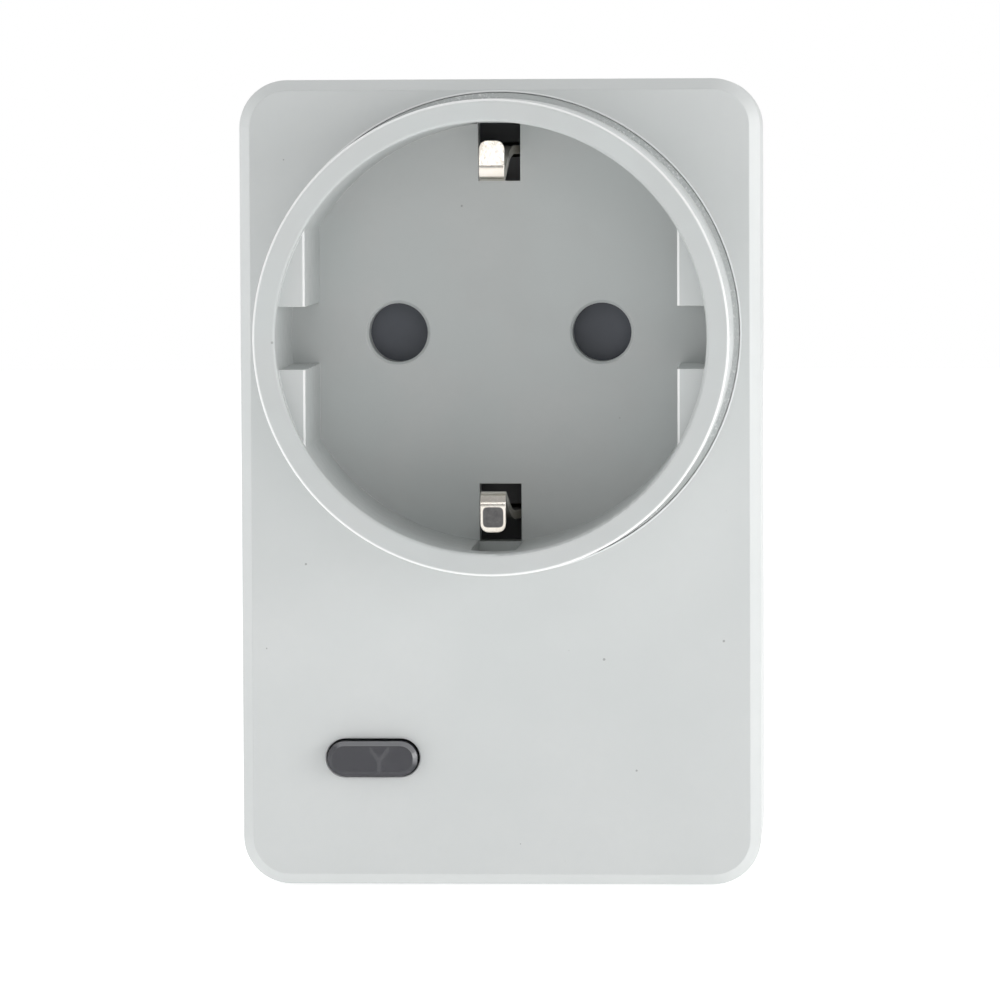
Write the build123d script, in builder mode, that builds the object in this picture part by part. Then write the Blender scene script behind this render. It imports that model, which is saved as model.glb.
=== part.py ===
from build123d import *
import os

# Plug-in power meter: a pass-through adapter with a socket on its front and a plug on its back.
# Millimetres. X runs to the right seen from the front, Y into the wall, Z up.
# The origin is the middle of the plug's end face, midway between the pins, on the socket's axis.
# "Forward" is the distance from the plug's end face towards the user, along -Y.

os.makedirs("parts", exist_ok=True)

# ---- Mains interface ----
pin_spacing = 19.0
pin_radius = 2.4
pin_length = 19.0
pin_tip_radius = 1.9
pin_neck_radius = 2.2
pin_root_radius = 2.0
pin_collar_radius = 3.4
pin_collar_thickness = 1.5
pin_tail_radius = 1.5
pin_tail_reach = 2.0
pin_rivet_height = 0.6
pin_mouth_depth = 0.6
pin_room = 0.3
recess_radius = 19.5
recess_depth = 17.5
rib_thickness = 2.65
recess_notch = 5.7
pin_hole_radius = 2.75
pin_hole_chamfer = 0.25
earth_hole_radius = 2.7
earth_hole_height = 10.0
earth_contact_radius = 16.0

# ---- Housing ----
body_width = 48.8
body_height = 75.5
body_depth = 23.5
axis_below_top = 23.7
corner_radius = 4.6
draft = 0.5
front_edge_chamfer = 1.0
back_edge_radius = 1.6
front_wall = 2.0
side_wall = 1.8
rear_wall = 2.0
rear_cover_depth = 4.5
parting_gap = 0.2
lip_height = 1.5
lip_wall = 1.0
lip_clearance = 0.1

# ---- Plug boss ----
plug_boss_depth = 17.5
plug_boss_radius = 18.5
plug_groove = 2.1
plug_ridge = 5.2
plug_wall = 2.2
plug_end_wall = 3.0
plug_edge_radius = 0.6
earth_slot_length = 15.5
earth_slot_clearance = 0.4
earth_slot_floor_gap = 0.2

# ---- Socket insert ----
floor_setback = 1.0
floor_thickness = 3.3
collar_wall = 2.05
collar_draft = 0.25
collar_groove = 0.5
collar_groove_depth = 0.25
collar_gap = 0.05
rib_below_rim = 1.2
rim_edge_radius = 0.25
flange_overhang = 3.1
flange_clearance = 0.15
stake_radius = 0.8
stake_head_radius = 1.3
stake_head_height = 0.6
window_width = 3.9
window_reach = 5.4
wall_slot_width = 4.1
wall_slot_depth = 1.4
wall_slot_below_rim = 3.5

# ---- Safety shutter and contact carrier ----
shutter_thickness = 2.0
shutter_lobe_radius = 3.7
shutter_waist = 4.0
shutter_hub_radius = 3.2
shutter_gap = 0.2
pivot_radius = 1.5
pivot_length = 3.6
spring_coil_radius = 2.3
spring_wire_radius = 0.16
spring_pitch = 0.42
spring_well_radius = 3.0
spring_well_floor = 0.3
spring_end_gap = 0.25
carrier_gap = 0.3
carrier_thickness = 1.6
carrier_margin = 2.8
carrier_box_wall = 1.1
strip_guard_width = 7.6
strip_guard_reach = 20.2
strip_guard_room = 0.3
clip_side_room = 0.5
clip_end_room = 0.2

# ---- Button ----
button_from_side = 12.4
button_from_bottom = 12.1
button_length = 8.75
button_height = 3.56
button_gap = 0.15
button_proud = 1.3
button_bevel = 0.42
button_edge_radius = 0.18
key_front_thickness = 1.0
key_side_wall = 0.4
key_flange = 0.85
key_flange_thickness = 1.2
key_rest_gap = 0.1
tube_wall = 0.9
tube_depth = 4.5
guide_offset = 0.65
guide_rib = 0.45
guide_spread = 38
guide_spread_room = 1.2

# ---- Strip metal ----
earth_strip_thickness = 0.8
earth_leg_inset = 2.5
earth_bend_inset = 5.2
earth_tip_inset = 1.75
earth_tip_below_rim = 3.8
earth_tip_drop = 0.5
earth_bend_radius = 0.85
tongue_width = 2.3
root_width = 3.7
rear_arm_width = 4.6
strip = 0.6
clip_width = 5.0
clip_root = 3.9
clip_mouth = 3.3
clip_pinch_depth = 3.4
clip_squeeze = 0.1
clip_bend_radius = 0.7
clip_mouth_gap = 0.8
clip_floor_gap = 0.5
link_width = 4.6
link_drop = 10.6
link_offset = 0.5
tail_offset = 3.4
tail_width = 2.6
lug_width = 1.6
lug_below_board_top = 1.4
lug_through = 1.0
lug_slot_room = 0.3
cross_link_setback = 3.1
cross_link_lip = 3.0
sleeve_radius = 3.05
sleeve_bore = 2.5
sleeve_slit = 0.7

# ---- Circuit board ----
board_thickness = 1.6
board_margin = 1.3
board_top = -24.4
board_bottom_margin = 1.45
board_behind_front = 17.0
board_post_inset = 2.1
board_post_drop = 2.8
lower_board_post_x = -3.5
lower_board_post_rise = 1.6
leg_radius = 0.35

# ---- Screws and posts ----
post_inset = 4.35
post_radius = 2.6
post_room = 0.4
board_post_radius = 2.2
carrier_post_radius = 2.0
carrier_post_high = 8.0
counterbore_depth = 2.2
counterbore_radius = 2.4
housing_screw = 1.25
board_screw = 0.95
small_screw = 0.85
screw_clearance = 0.15
housing_pilot_depth = 11.0
board_pilot_depth = 8.0
small_pilot_depth = 3.6
holder_boss_radius = 2.0
holder_boss_height = 1.6
holder_thickness = 3.4
holder_margin = 4.0
holder_height = 14.0
holder_drop = 2.0
fit_gap = 0.05

# ---- Levels forward of the plug's end face ----
back_face = plug_boss_depth
front_face = back_face + body_depth
parting = back_face + rear_cover_depth
rear_inside = back_face + rear_wall
front_inside = front_face - front_wall
recess_floor = front_face - floor_setback
rim = recess_floor + recess_depth
floor_back = recess_floor - floor_thickness
flange_thickness = front_inside - floor_back
shutter_front = floor_back - shutter_gap
shutter_back = shutter_front - shutter_thickness
carrier_front = shutter_back - carrier_gap
carrier_back = carrier_front - carrier_thickness
clip_base = rear_inside + clip_floor_gap
board_front = front_face - board_behind_front
board_back = board_front - board_thickness
holder_seat = plug_end_wall + holder_boss_height
pin_tail = holder_seat + holder_thickness + pin_tail_reach

# ---- Widths, heights and places shared by several pieces ----
body_bottom = axis_below_top - body_height
body_middle = axis_below_top - body_height / 2
cavity_width = body_width - 2 * side_wall
cavity_height = body_height - 2 * side_wall
cavity_corner = corner_radius - side_wall
collar_rim_radius = recess_radius + collar_wall
collar_base_radius = collar_rim_radius + collar_draft
shoulder_radius = collar_base_radius + collar_groove
opening_radius = shoulder_radius + collar_gap
flange_radius = collar_base_radius + flange_overhang
pin_x = pin_spacing / 2
post_x = body_width / 2 - post_inset
post_high = axis_below_top - post_inset
post_low = body_bottom + post_inset
post_centres = [(x, z) for x in (-post_x, post_x) for z in (post_low, post_high)]
board_bottom = body_bottom + side_wall + board_bottom_margin
board_half = cavity_width / 2 - board_margin
board_post_centres = [
    (board_post_inset - board_half, board_top - board_post_drop),
    (board_half - board_post_inset, board_top - board_post_drop),
    (lower_board_post_x, board_bottom + lower_board_post_rise),
]
lug_z = board_top - lug_below_board_top
stake_offset = (flange_radius + opening_radius) / 2 * 0.7071
stake_centres = [(x, z) for x in (-stake_offset, stake_offset) for z in (-stake_offset, stake_offset)]
carrier_post_x = pin_x + shutter_lobe_radius + carrier_post_radius
carrier_screw_centres = [(x, z) for x in (-carrier_post_x, carrier_post_x)
                         for z in (-carrier_post_high, carrier_post_high)]
holder_screw_centres = [(0, 2.4), (0, -6.4)]
button_x = button_from_side - body_width / 2
button_z = body_bottom + button_from_bottom
stem_x = button_x + guide_offset


def at(forward):
    """The plane across the object at a distance forward of the plug's end face."""
    return Plane.XZ.offset(forward)


def guide_outline(radius, flat, ridge):
    """A circle whose left and right segments are cut back to flats, except for a middle band."""
    segment = radius - flat + 1
    Circle(radius)
    with GridLocations(2 * flat + segment, ridge + radius, 2, 2):
        Rectangle(segment, radius, mode=Mode.SUBTRACT)


def pan_screw(seat, centres, head_radius, head_height, shank_radius, shank_length, forward_tip):
    """Identical pan-head screws with a cross recess; the head's underside is at seat."""
    point = 1 if forward_tip else -1
    crown = head_height * 0.45
    slot_length = head_radius * 1.2
    slot_width = head_radius * 0.28
    slot_depth = head_height * 0.6
    with BuildPart() as screws:
        with BuildSketch(at(seat)):
            with Locations(*centres):
                Circle(head_radius)
        extrude(amount=-point * head_height)
        outer_faces = screws.faces().filter_by(Axis.Y).sort_by(Axis.Y)
        outer = outer_faces[-len(centres):] if forward_tip else outer_faces[:len(centres)]
        fillet(outer.edges(), crown)
        with BuildSketch(at(seat)):
            with Locations(*centres):
                Circle(shank_radius)
        extrude(amount=point * shank_length)
        with BuildSketch(at(seat - point * head_height)):
            with Locations(*centres):
                Rectangle(slot_length, slot_width)
                Rectangle(slot_width, slot_length)
        extrude(amount=point * slot_depth, mode=Mode.SUBTRACT)
    return screws


# ---- Front cover: a drafted shell, open at the back, that carries the posts ----
with BuildPart() as front_cover:
    shell_depth = front_face - parting - parting_gap
    with BuildSketch(at(parting + parting_gap)):
        with Locations((0, body_middle)):
            RectangleRounded(body_width, body_height, corner_radius)
    extrude(amount=shell_depth, taper=draft)
    chamfer(front_cover.faces().sort_by(Axis.Y)[0].edges(), front_edge_chamfer)
    with BuildSketch(at(parting + parting_gap)):
        with Locations((0, body_middle)):
            RectangleRounded(cavity_width, cavity_height, cavity_corner)
    extrude(amount=shell_depth - front_wall, mode=Mode.SUBTRACT)
    # Round opening for the socket's collar, cut a little past the wall where it meets the top
    with BuildSketch(at(front_inside - 2 * fit_gap)):
        Circle(opening_radius)
    extrude(amount=front_wall + 2 * fit_gap, mode=Mode.SUBTRACT)
    # Posts for the housing screws and, shorter, for the circuit board
    with BuildSketch(at(parting + parting_gap)):
        with Locations(*post_centres):
            Circle(post_radius)
    extrude(amount=front_inside - parting - parting_gap)
    with BuildSketch(at(board_front)):
        with Locations(*board_post_centres):
            Circle(board_post_radius)
    extrude(amount=front_inside - board_front)
    with BuildSketch(at(parting + parting_gap)):
        with Locations(*post_centres):
            Circle(housing_screw + fit_gap)
    extrude(amount=housing_pilot_depth, mode=Mode.SUBTRACT)
    with BuildSketch(at(board_front)):
        with Locations(*board_post_centres):
            Circle(board_screw + fit_gap)
    extrude(amount=board_pilot_depth, mode=Mode.SUBTRACT)
    # Heat stakes that hold the socket insert's flange against the front wall
    stake_seat = floor_back - fit_gap
    with BuildSketch(at(stake_seat)):
        with Locations(*stake_centres):
            Circle(stake_radius)
    extrude(amount=front_inside - stake_seat)
    with BuildSketch(at(stake_seat)):
        with Locations(*stake_centres):
            Circle(stake_head_radius)
    extrude(amount=-stake_head_height)
    # Guide tube and opening for the button
    tube_length = button_length + 2 * (key_flange + button_gap)
    tube_height = button_height + 2 * (key_flange + button_gap)
    with BuildSketch(at(front_inside - tube_depth)):
        with Locations((button_x, button_z)):
            SlotOverall(tube_length + 2 * tube_wall, tube_height + 2 * tube_wall)
            SlotOverall(tube_length, tube_height, mode=Mode.SUBTRACT)
    extrude(amount=tube_depth)
    with BuildSketch(at(front_inside)):
        with Locations((button_x, button_z)):
            SlotOverall(button_length, button_height)
    extrude(amount=front_wall, mode=Mode.SUBTRACT)
    face_openings = front_cover.faces().sort_by(Axis.Y)[0].inner_wires()
    fillet(face_openings.sort_by(SortBy.LENGTH)[0].edges(), button_edge_radius)
front_cover.part.label = "front_cover"
export_step(front_cover.part, "parts/front_cover.step")

# ---- Rear cover: a shallow tray with the hollow plug boss standing out of its back ----
with BuildPart() as rear_cover:
    with BuildSketch(at(back_face)):
        with Locations((0, body_middle)):
            RectangleRounded(body_width, body_height, corner_radius)
    extrude(amount=rear_cover_depth)
    fillet(rear_cover.faces().sort_by(Axis.Y)[-1].edges(), back_edge_radius)
    with BuildSketch(at(0)):
        guide_outline(plug_boss_radius, plug_boss_radius - plug_groove, plug_ridge)
    extrude(amount=back_face)
    fillet(rear_cover.faces().sort_by(Axis.Y)[-1].edges(), plug_edge_radius)
    # Tray cavity, then the hollow inside the boss
    with BuildSketch(at(rear_inside)):
        with Locations((0, body_middle)):
            RectangleRounded(cavity_width, cavity_height, cavity_corner)
    extrude(amount=parting - rear_inside, mode=Mode.SUBTRACT)
    with BuildSketch(at(plug_end_wall)):
        guide_outline(plug_boss_radius - plug_wall, plug_boss_radius - plug_groove - plug_wall, 0)
    extrude(amount=rear_inside - plug_end_wall, mode=Mode.SUBTRACT)
    # Locating lip that enters the front cover, with room left for the posts
    with BuildSketch(at(rear_inside)):
        lip_width = cavity_width - 2 * lip_clearance
        lip_length = cavity_height - 2 * lip_clearance
        with Locations((0, body_middle)):
            RectangleRounded(lip_width, lip_length, cavity_corner)
            RectangleRounded(lip_width - 2 * lip_wall, lip_length - 2 * lip_wall, cavity_corner - lip_wall,
                             mode=Mode.SUBTRACT)
    extrude(amount=parting + lip_height - rear_inside)
    with BuildSketch(at(parting)):
        with Locations(*post_centres):
            Circle(post_radius + parting_gap)
    extrude(amount=lip_height, mode=Mode.SUBTRACT)
    # Screw pillars with counterbores from the back
    with BuildSketch(at(rear_inside)):
        with Locations(*post_centres):
            Circle(post_radius + post_room)
    extrude(amount=parting - rear_inside)
    with BuildSketch(at(back_face)):
        with Locations(*post_centres):
            Circle(counterbore_radius)
    extrude(amount=counterbore_depth, mode=Mode.SUBTRACT)
    with BuildSketch(at(back_face)):
        with Locations(*post_centres):
            Circle(housing_screw + parting_gap)
    extrude(amount=rear_cover_depth, mode=Mode.SUBTRACT)
    # Slots, top and bottom, that bare the earth contacts and run out at the plug's end
    with BuildSketch(at(0)):
        slot_floor = earth_contact_radius - earth_strip_thickness - earth_slot_floor_gap
        with GridLocations(0, slot_floor + plug_boss_radius, 1, 2):
            Rectangle(rear_arm_width + 2 * earth_slot_clearance, plug_boss_radius - slot_floor)
    extrude(amount=earth_slot_length, mode=Mode.SUBTRACT)
    # Seats for the pins: a close hole behind a slightly wider mouth
    with BuildSketch(at(0)):
        with GridLocations(pin_spacing, 0, 2, 1):
            Circle(pin_neck_radius + fit_gap)
    extrude(amount=plug_end_wall, mode=Mode.SUBTRACT)
    with BuildSketch(at(0)):
        with GridLocations(pin_spacing, 0, 2, 1):
            Circle(pin_radius + fit_gap)
    extrude(amount=pin_mouth_depth, mode=Mode.SUBTRACT)
    with BuildSketch(at(0)):
        with Locations((0, earth_hole_height)):
            Circle(earth_hole_radius)
    extrude(amount=plug_end_wall, mode=Mode.SUBTRACT)
    # Low bosses for the pin holder's screws
    with BuildSketch(at(plug_end_wall)):
        with Locations(*holder_screw_centres):
            Circle(holder_boss_radius)
    extrude(amount=holder_seat - plug_end_wall)
    with BuildSketch(at(holder_seat)):
        with Locations(*holder_screw_centres):
            Circle(small_screw + fit_gap)
    extrude(amount=-small_pilot_depth, mode=Mode.SUBTRACT)
rear_cover.part.label = "rear_cover"
export_step(rear_cover.part, "parts/rear_cover.step")

# ---- Socket insert: collar, recess, guide ribs and flange in one moulding ----
with BuildPart() as socket_insert:
    with BuildSketch(at(floor_back)):
        Circle(flange_radius)
        flange_top = axis_below_top - side_wall - flange_clearance
        with Locations((0, flange_top)):
            Rectangle(cavity_width - 2 * flange_clearance, 3 * flange_radius,
                      align=(Align.CENTER, Align.MAX), mode=Mode.INTERSECT)
    extrude(amount=flange_thickness - fit_gap)
    # Shoulder that fills the front cover's opening and leaves a shallow groove round the collar
    with BuildSketch(at(front_inside - fit_gap)):
        Circle(shoulder_radius)
    extrude(amount=front_wall + fit_gap - collar_groove_depth)
    with BuildSketch(at(front_inside - fit_gap)):
        Circle(collar_base_radius)
    with BuildSketch(at(rim)):
        Circle(collar_rim_radius)
    loft()
    rim_face = socket_insert.faces().sort_by(Axis.Y)[0]
    fillet(rim_face.edges(), rim_edge_radius)
    # Recess: round down to the ribs' tops, then narrowed by the ribs down to the floor
    with BuildSketch(at(rim - rib_below_rim)):
        Circle(recess_radius)
    extrude(amount=rib_below_rim, mode=Mode.SUBTRACT)
    with BuildSketch(at(recess_floor)):
        guide_outline(recess_radius, recess_radius - rib_thickness, recess_notch)
    extrude(amount=recess_depth - rib_below_rim, mode=Mode.SUBTRACT)
    fillet(socket_insert.faces().sort_by(Axis.Y)[0].inner_wires().edges(), rim_edge_radius)
    # Pin holes with a small lead-in
    with BuildSketch(at(floor_back)):
        with GridLocations(pin_spacing, 0, 2, 1):
            Circle(pin_hole_radius)
    extrude(amount=floor_thickness, mode=Mode.SUBTRACT)
    hole_edges = socket_insert.edges().filter_by(GeomType.CIRCLE)
    hole_edges = hole_edges.filter_by(lambda edge: abs(edge.radius - pin_hole_radius) < 0.01)
    chamfer(hole_edges.sort_by(Axis.Y)[:2], pin_hole_chamfer)
    # Windows for the earth clips, and slots in the wall that let them spring outwards
    with BuildSketch(at(floor_back)):
        with GridLocations(0, 2 * recess_radius - window_reach, 1, 2):
            Rectangle(window_width, window_reach)
    extrude(amount=floor_thickness, mode=Mode.SUBTRACT)
    with BuildSketch(at(recess_floor)):
        slot_reach = recess_radius + wall_slot_depth
        with GridLocations(0, slot_reach, 1, 2):
            Rectangle(wall_slot_width, slot_reach)
        Circle(recess_radius - wall_slot_depth, mode=Mode.SUBTRACT)
    extrude(amount=recess_depth - wall_slot_below_rim, mode=Mode.SUBTRACT)
    # Behind the floor: pivot pin for the shutter and two posts for the contact carrier
    with BuildSketch(at(floor_back)):
        Circle(pivot_radius)
    extrude(amount=-pivot_length)
    with BuildSketch(at(floor_back)):
        with Locations(*carrier_screw_centres):
            Circle(carrier_post_radius)
    extrude(amount=carrier_front + fit_gap - floor_back)
    with BuildSketch(at(carrier_front)):
        with Locations(*carrier_screw_centres):
            Circle(small_screw + fit_gap)
    extrude(amount=small_pilot_depth, mode=Mode.SUBTRACT)
    with BuildSketch(at(floor_back)):
        with Locations(*stake_centres):
            Circle(stake_radius + fit_gap)
    extrude(amount=flange_thickness, mode=Mode.SUBTRACT)
socket_insert.part.label = "socket_insert"
export_step(socket_insert.part, "parts/socket_insert.step")

# ---- Safety shutter: a two-lobed blade that turns on the insert's pivot pin ----
with BuildPart() as safety_shutter:
    with BuildSketch(at(shutter_back)):
        with GridLocations(pin_spacing, 0, 2, 1):
            Circle(shutter_lobe_radius)
        Rectangle(pin_spacing, shutter_waist)
        Circle(shutter_hub_radius)
        Circle(pivot_radius + fit_gap, mode=Mode.SUBTRACT)
    extrude(amount=shutter_thickness)
    tall_edges = safety_shutter.edges().filter_by(Axis.Y)
    fillet(tall_edges, 0.6)
safety_shutter.part.label = "safety_shutter"
export_step(safety_shutter.part, "parts/safety_shutter.step")

# ---- Contact carrier: a plate behind the shutter with a box round each mains contact ----
with BuildPart() as contact_carrier:
    with BuildSketch(at(carrier_back)):
        plate_half = carrier_post_x + carrier_margin
        plate_high = carrier_post_high + carrier_margin
        RectangleRounded(2 * plate_half, 2 * plate_high, carrier_post_radius)
        # Guards behind the earth windows, slotted for the earth strips
        Rectangle(strip_guard_width, 2 * strip_guard_reach)
        with GridLocations(0, 2 * (recess_radius - earth_leg_inset), 1, 2):
            Rectangle(root_width + 2 * strip_guard_room, earth_strip_thickness + 2 * strip_guard_room,
                      mode=Mode.SUBTRACT)
        with GridLocations(pin_spacing, 0, 2, 1):
            Circle(pin_radius + pin_room, mode=Mode.SUBTRACT)
    extrude(amount=carrier_thickness)
    box_end = clip_base + strip + 2 * fit_gap
    box_width = clip_width + 2 * clip_side_room
    box_height = 2 * clip_root + strip + 2 * clip_end_room
    with BuildSketch(at(box_end)):
        with GridLocations(pin_spacing, 0, 2, 1):
            Rectangle(box_width + 2 * carrier_box_wall, box_height + 2 * carrier_box_wall)
            Rectangle(box_width, box_height, mode=Mode.SUBTRACT)
    extrude(amount=carrier_back - box_end)
    # Well for the shutter's spring, open towards the shutter
    with BuildSketch(at(carrier_back + spring_well_floor)):
        Circle(spring_well_radius)
    extrude(amount=carrier_thickness, mode=Mode.SUBTRACT)
    with BuildSketch(at(carrier_back)):
        with Locations(*carrier_screw_centres):
            Circle(small_screw + screw_clearance)
    extrude(amount=carrier_thickness, mode=Mode.SUBTRACT)
contact_carrier.part.label = "contact_carrier"
export_step(contact_carrier.part, "parts/contact_carrier.step")

# ---- Shutter spring: a small coil round the pivot pin that turns the shutter shut ----
with BuildPart() as shutter_spring:
    with BuildLine():
        coil = Helix(pitch=spring_pitch, height=2.5 * spring_pitch, radius=spring_coil_radius,
                     center=(0, spring_end_gap - shutter_back, 0), direction=(0, 1, 0))
    with BuildSketch(Plane(origin=coil @ 0, z_dir=coil % 0)):
        Circle(spring_wire_radius)
    sweep(is_frenet=True)
shutter_spring.part.label = "shutter_spring"
export_step(shutter_spring.part, "parts/shutter_spring.step")


# ---- Mains contacts: a folded clip for each pin, with a tail down to the circuit board ----
def mains_contact(side):
    """The clip at x = side * pin_x; its tail runs down outboard of the clip."""
    leaf_pinch = pin_radius - clip_squeeze + strip / 2
    base = -(clip_base + strip / 2)
    mouth = clip_mouth_gap - carrier_back
    with BuildPart() as contact:
        with BuildSketch(Plane.YZ.offset(side * pin_x)):
            with BuildLine():
                FilletPolyline(
                    (mouth, clip_mouth),
                    (mouth + clip_pinch_depth, leaf_pinch),
                    (base, clip_root),
                    (base, -clip_root),
                    (mouth + clip_pinch_depth, -leaf_pinch),
                    (mouth, -clip_mouth),
                    radius=clip_bend_radius,
                )
            trace(line_width=strip)
        extrude(amount=clip_width / 2, both=True)
        # The pin's end passes through the base
        with BuildSketch(at(clip_base)):
            with Locations((side * pin_x, 0)):
                Circle(pin_radius + pin_room)
        extrude(amount=strip, mode=Mode.SUBTRACT)
        # Tail and solder lug
        with BuildSketch(at(clip_base)):
            with Locations((side * (pin_x + tail_offset), lug_z - strip / 2)):
                Rectangle(tail_width, pin_radius - lug_z + strip / 2, align=(Align.CENTER, Align.MIN))
        extrude(amount=strip)
        with BuildSketch(at(clip_base)):
            with Locations((side * (pin_x + tail_offset), lug_z)):
                Rectangle(lug_width, strip)
        extrude(amount=board_front + lug_through - clip_base)
    return contact


live_contact = mains_contact(1)
live_contact.part.label = "live_contact"
export_step(live_contact.part, "parts/live_contact.step")
neutral_contact = mains_contact(-1)
neutral_contact.part.label = "neutral_contact"
export_step(neutral_contact.part, "parts/neutral_contact.step")


# ---- Earth strips: one bent strip each, clip at the socket end, flat contact at the plug end ----
def earth_strip(side):
    """The strip above (side = 1) or below (side = -1) the axis, centre line in depth and height."""
    half = earth_strip_thickness / 2
    leg = recess_radius - earth_leg_inset
    arm = earth_contact_radius - half
    tip_forward = rim - earth_tip_below_rim
    leg_front = recess_floor + 0.6
    leg_back = parting + 2.4
    arm_front = rear_inside + 0.2
    arm_back = 0.9
    shoulder = (1.33, recess_floor + 1.0)
    tongue_start = recess_floor + 3.6
    root_end = recess_floor - 1.5
    with BuildPart() as bent:
        with BuildSketch(Plane.YZ):
            with BuildLine():
                FilletPolyline(
                    (-(tip_forward - earth_tip_drop), side * (recess_radius - earth_tip_inset)),
                    (-tip_forward, side * (recess_radius - earth_bend_inset)),
                    (-leg_front, side * leg),
                    (-leg_back, side * leg),
                    (-arm_front, side * arm),
                    (-arm_back, side * arm),
                    radius=earth_bend_radius,
                )
            trace(line_width=earth_strip_thickness)
        extrude(amount=rear_arm_width / 2, both=True)
        # Plan outline: narrow tongue, curved shoulders, wider root, widest arm
        with BuildSketch(Plane.XY):
            with BuildLine():
                tongue = tongue_width / 2
                root = root_width / 2
                arm_half = rear_arm_width / 2
                left = Line((-arm_half, 0), (-arm_half, -parting + 1))
                Line(left @ 1, (-root, -parting - 1))
                Line((-root, -parting - 1), (-root, -root_end))
                ThreePointArc((-root, -root_end), (-shoulder[0], -shoulder[1]), (-tongue, -tongue_start))
                Line((-tongue, -tongue_start), (-tongue, -rim))
                Line((-tongue, -rim), (0, -rim))
                mirror(about=Plane.YZ)
                Line((-arm_half, 0), (arm_half, 0))
            make_face()
        extrude(amount=2 * recess_radius, both=True, mode=Mode.INTERSECT)
        short = bent.edges().filter_by(lambda edge: abs(edge.length - earth_strip_thickness) < 0.01)
        fillet(short.sort_by(Axis.Y)[:2], tongue_width / 3)
    return bent


upper_earth_strip = earth_strip(1)
upper_earth_strip.part.label = "upper_earth_strip"
export_step(upper_earth_strip.part, "parts/upper_earth_strip.step")
lower_earth_strip = earth_strip(-1)
lower_earth_strip.part.label = "lower_earth_strip"
export_step(lower_earth_strip.part, "parts/lower_earth_strip.step")

# ---- Earth cross link: joins the two strips behind the pins and carries the earth receptacle ----
with BuildPart() as earth_cross_link:
    link_level = plug_boss_depth - cross_link_setback
    lip_level = link_level + cross_link_lip
    link_reach = earth_contact_radius - earth_strip_thickness - strip / 2 - fit_gap
    with BuildSketch(Plane.YZ):
        with BuildLine():
            FilletPolyline(
                (-lip_level, link_reach),
                (-link_level, link_reach),
                (-link_level, -link_reach),
                (-lip_level, -link_reach),
                radius=strip,
            )
        trace(line_width=strip)
    extrude(amount=rear_arm_width / 2, both=True)
earth_cross_link.part.label = "earth_cross_link"
export_step(earth_cross_link.part, "parts/earth_cross_link.step")

# ---- Earth receptacle: a split sleeve behind the plug's round earth hole ----
with BuildPart() as earth_receptacle:
    sleeve_base = link_level - strip / 2 - fit_gap
    sleeve_mouth = plug_end_wall + 2 * fit_gap
    sleeve_end_wall = 1.0
    with BuildSketch(at(sleeve_mouth)):
        with Locations((0, earth_hole_height)):
            Circle(sleeve_radius)
    extrude(amount=sleeve_base - sleeve_mouth)
    with BuildSketch(at(sleeve_mouth)):
        with Locations((0, earth_hole_height)):
            Circle(sleeve_bore)
            Rectangle(sleeve_slit, 3 * sleeve_radius)
    extrude(amount=sleeve_base - sleeve_mouth - sleeve_end_wall, mode=Mode.SUBTRACT)
earth_receptacle.part.label = "earth_receptacle"
export_step(earth_receptacle.part, "parts/earth_receptacle.step")


# ---- Plug pins: turned brass with a neck in the end wall, a collar behind it and a riveted tail ----
def plug_pin(side):
    """The pin at x = side * pin_x."""
    join = 0.02
    steps = [
        (join, -pin_length - join, pin_radius),
        (0, plug_end_wall + fit_gap, pin_neck_radius),
        (plug_end_wall + fit_gap, pin_collar_thickness, pin_collar_radius),
        (plug_end_wall + fit_gap, pin_tail - plug_end_wall - fit_gap, pin_root_radius),
        (pin_tail, strip + 2 * fit_gap, pin_tail_radius),
        (pin_tail + strip + 2 * fit_gap, pin_rivet_height, pin_neck_radius),
    ]
    with BuildPart() as pin:
        for start, length, radius in steps:
            with BuildSketch(at(start)):
                with Locations((side * pin_x, 0)):
                    Circle(radius)
            extrude(amount=length)
        fillet(pin.faces().sort_by(Axis.Y)[-1].edges(), pin_tip_radius)
    return pin


live_pin = plug_pin(1)
live_pin.part.label = "live_pin"
export_step(live_pin.part, "parts/live_pin.step")
neutral_pin = plug_pin(-1)
neutral_pin.part.label = "neutral_pin"
export_step(neutral_pin.part, "parts/neutral_pin.step")

# ---- Pin holder: clamps both pins' collars against the plug's end wall ----
with BuildPart() as pin_holder:
    with BuildSketch(at(holder_seat + fit_gap)):
        with Locations((0, -holder_drop)):
            RectangleRounded(pin_spacing + 2 * holder_margin, holder_height, holder_boss_radius)
        with GridLocations(pin_spacing, 0, 2, 1):
            Circle(pin_root_radius + fit_gap, mode=Mode.SUBTRACT)
        with Locations(*holder_screw_centres):
            Circle(small_screw + screw_clearance, mode=Mode.SUBTRACT)
    extrude(amount=holder_thickness - 2 * fit_gap)
pin_holder.part.label = "pin_holder"
export_step(pin_holder.part, "parts/pin_holder.step")


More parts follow.
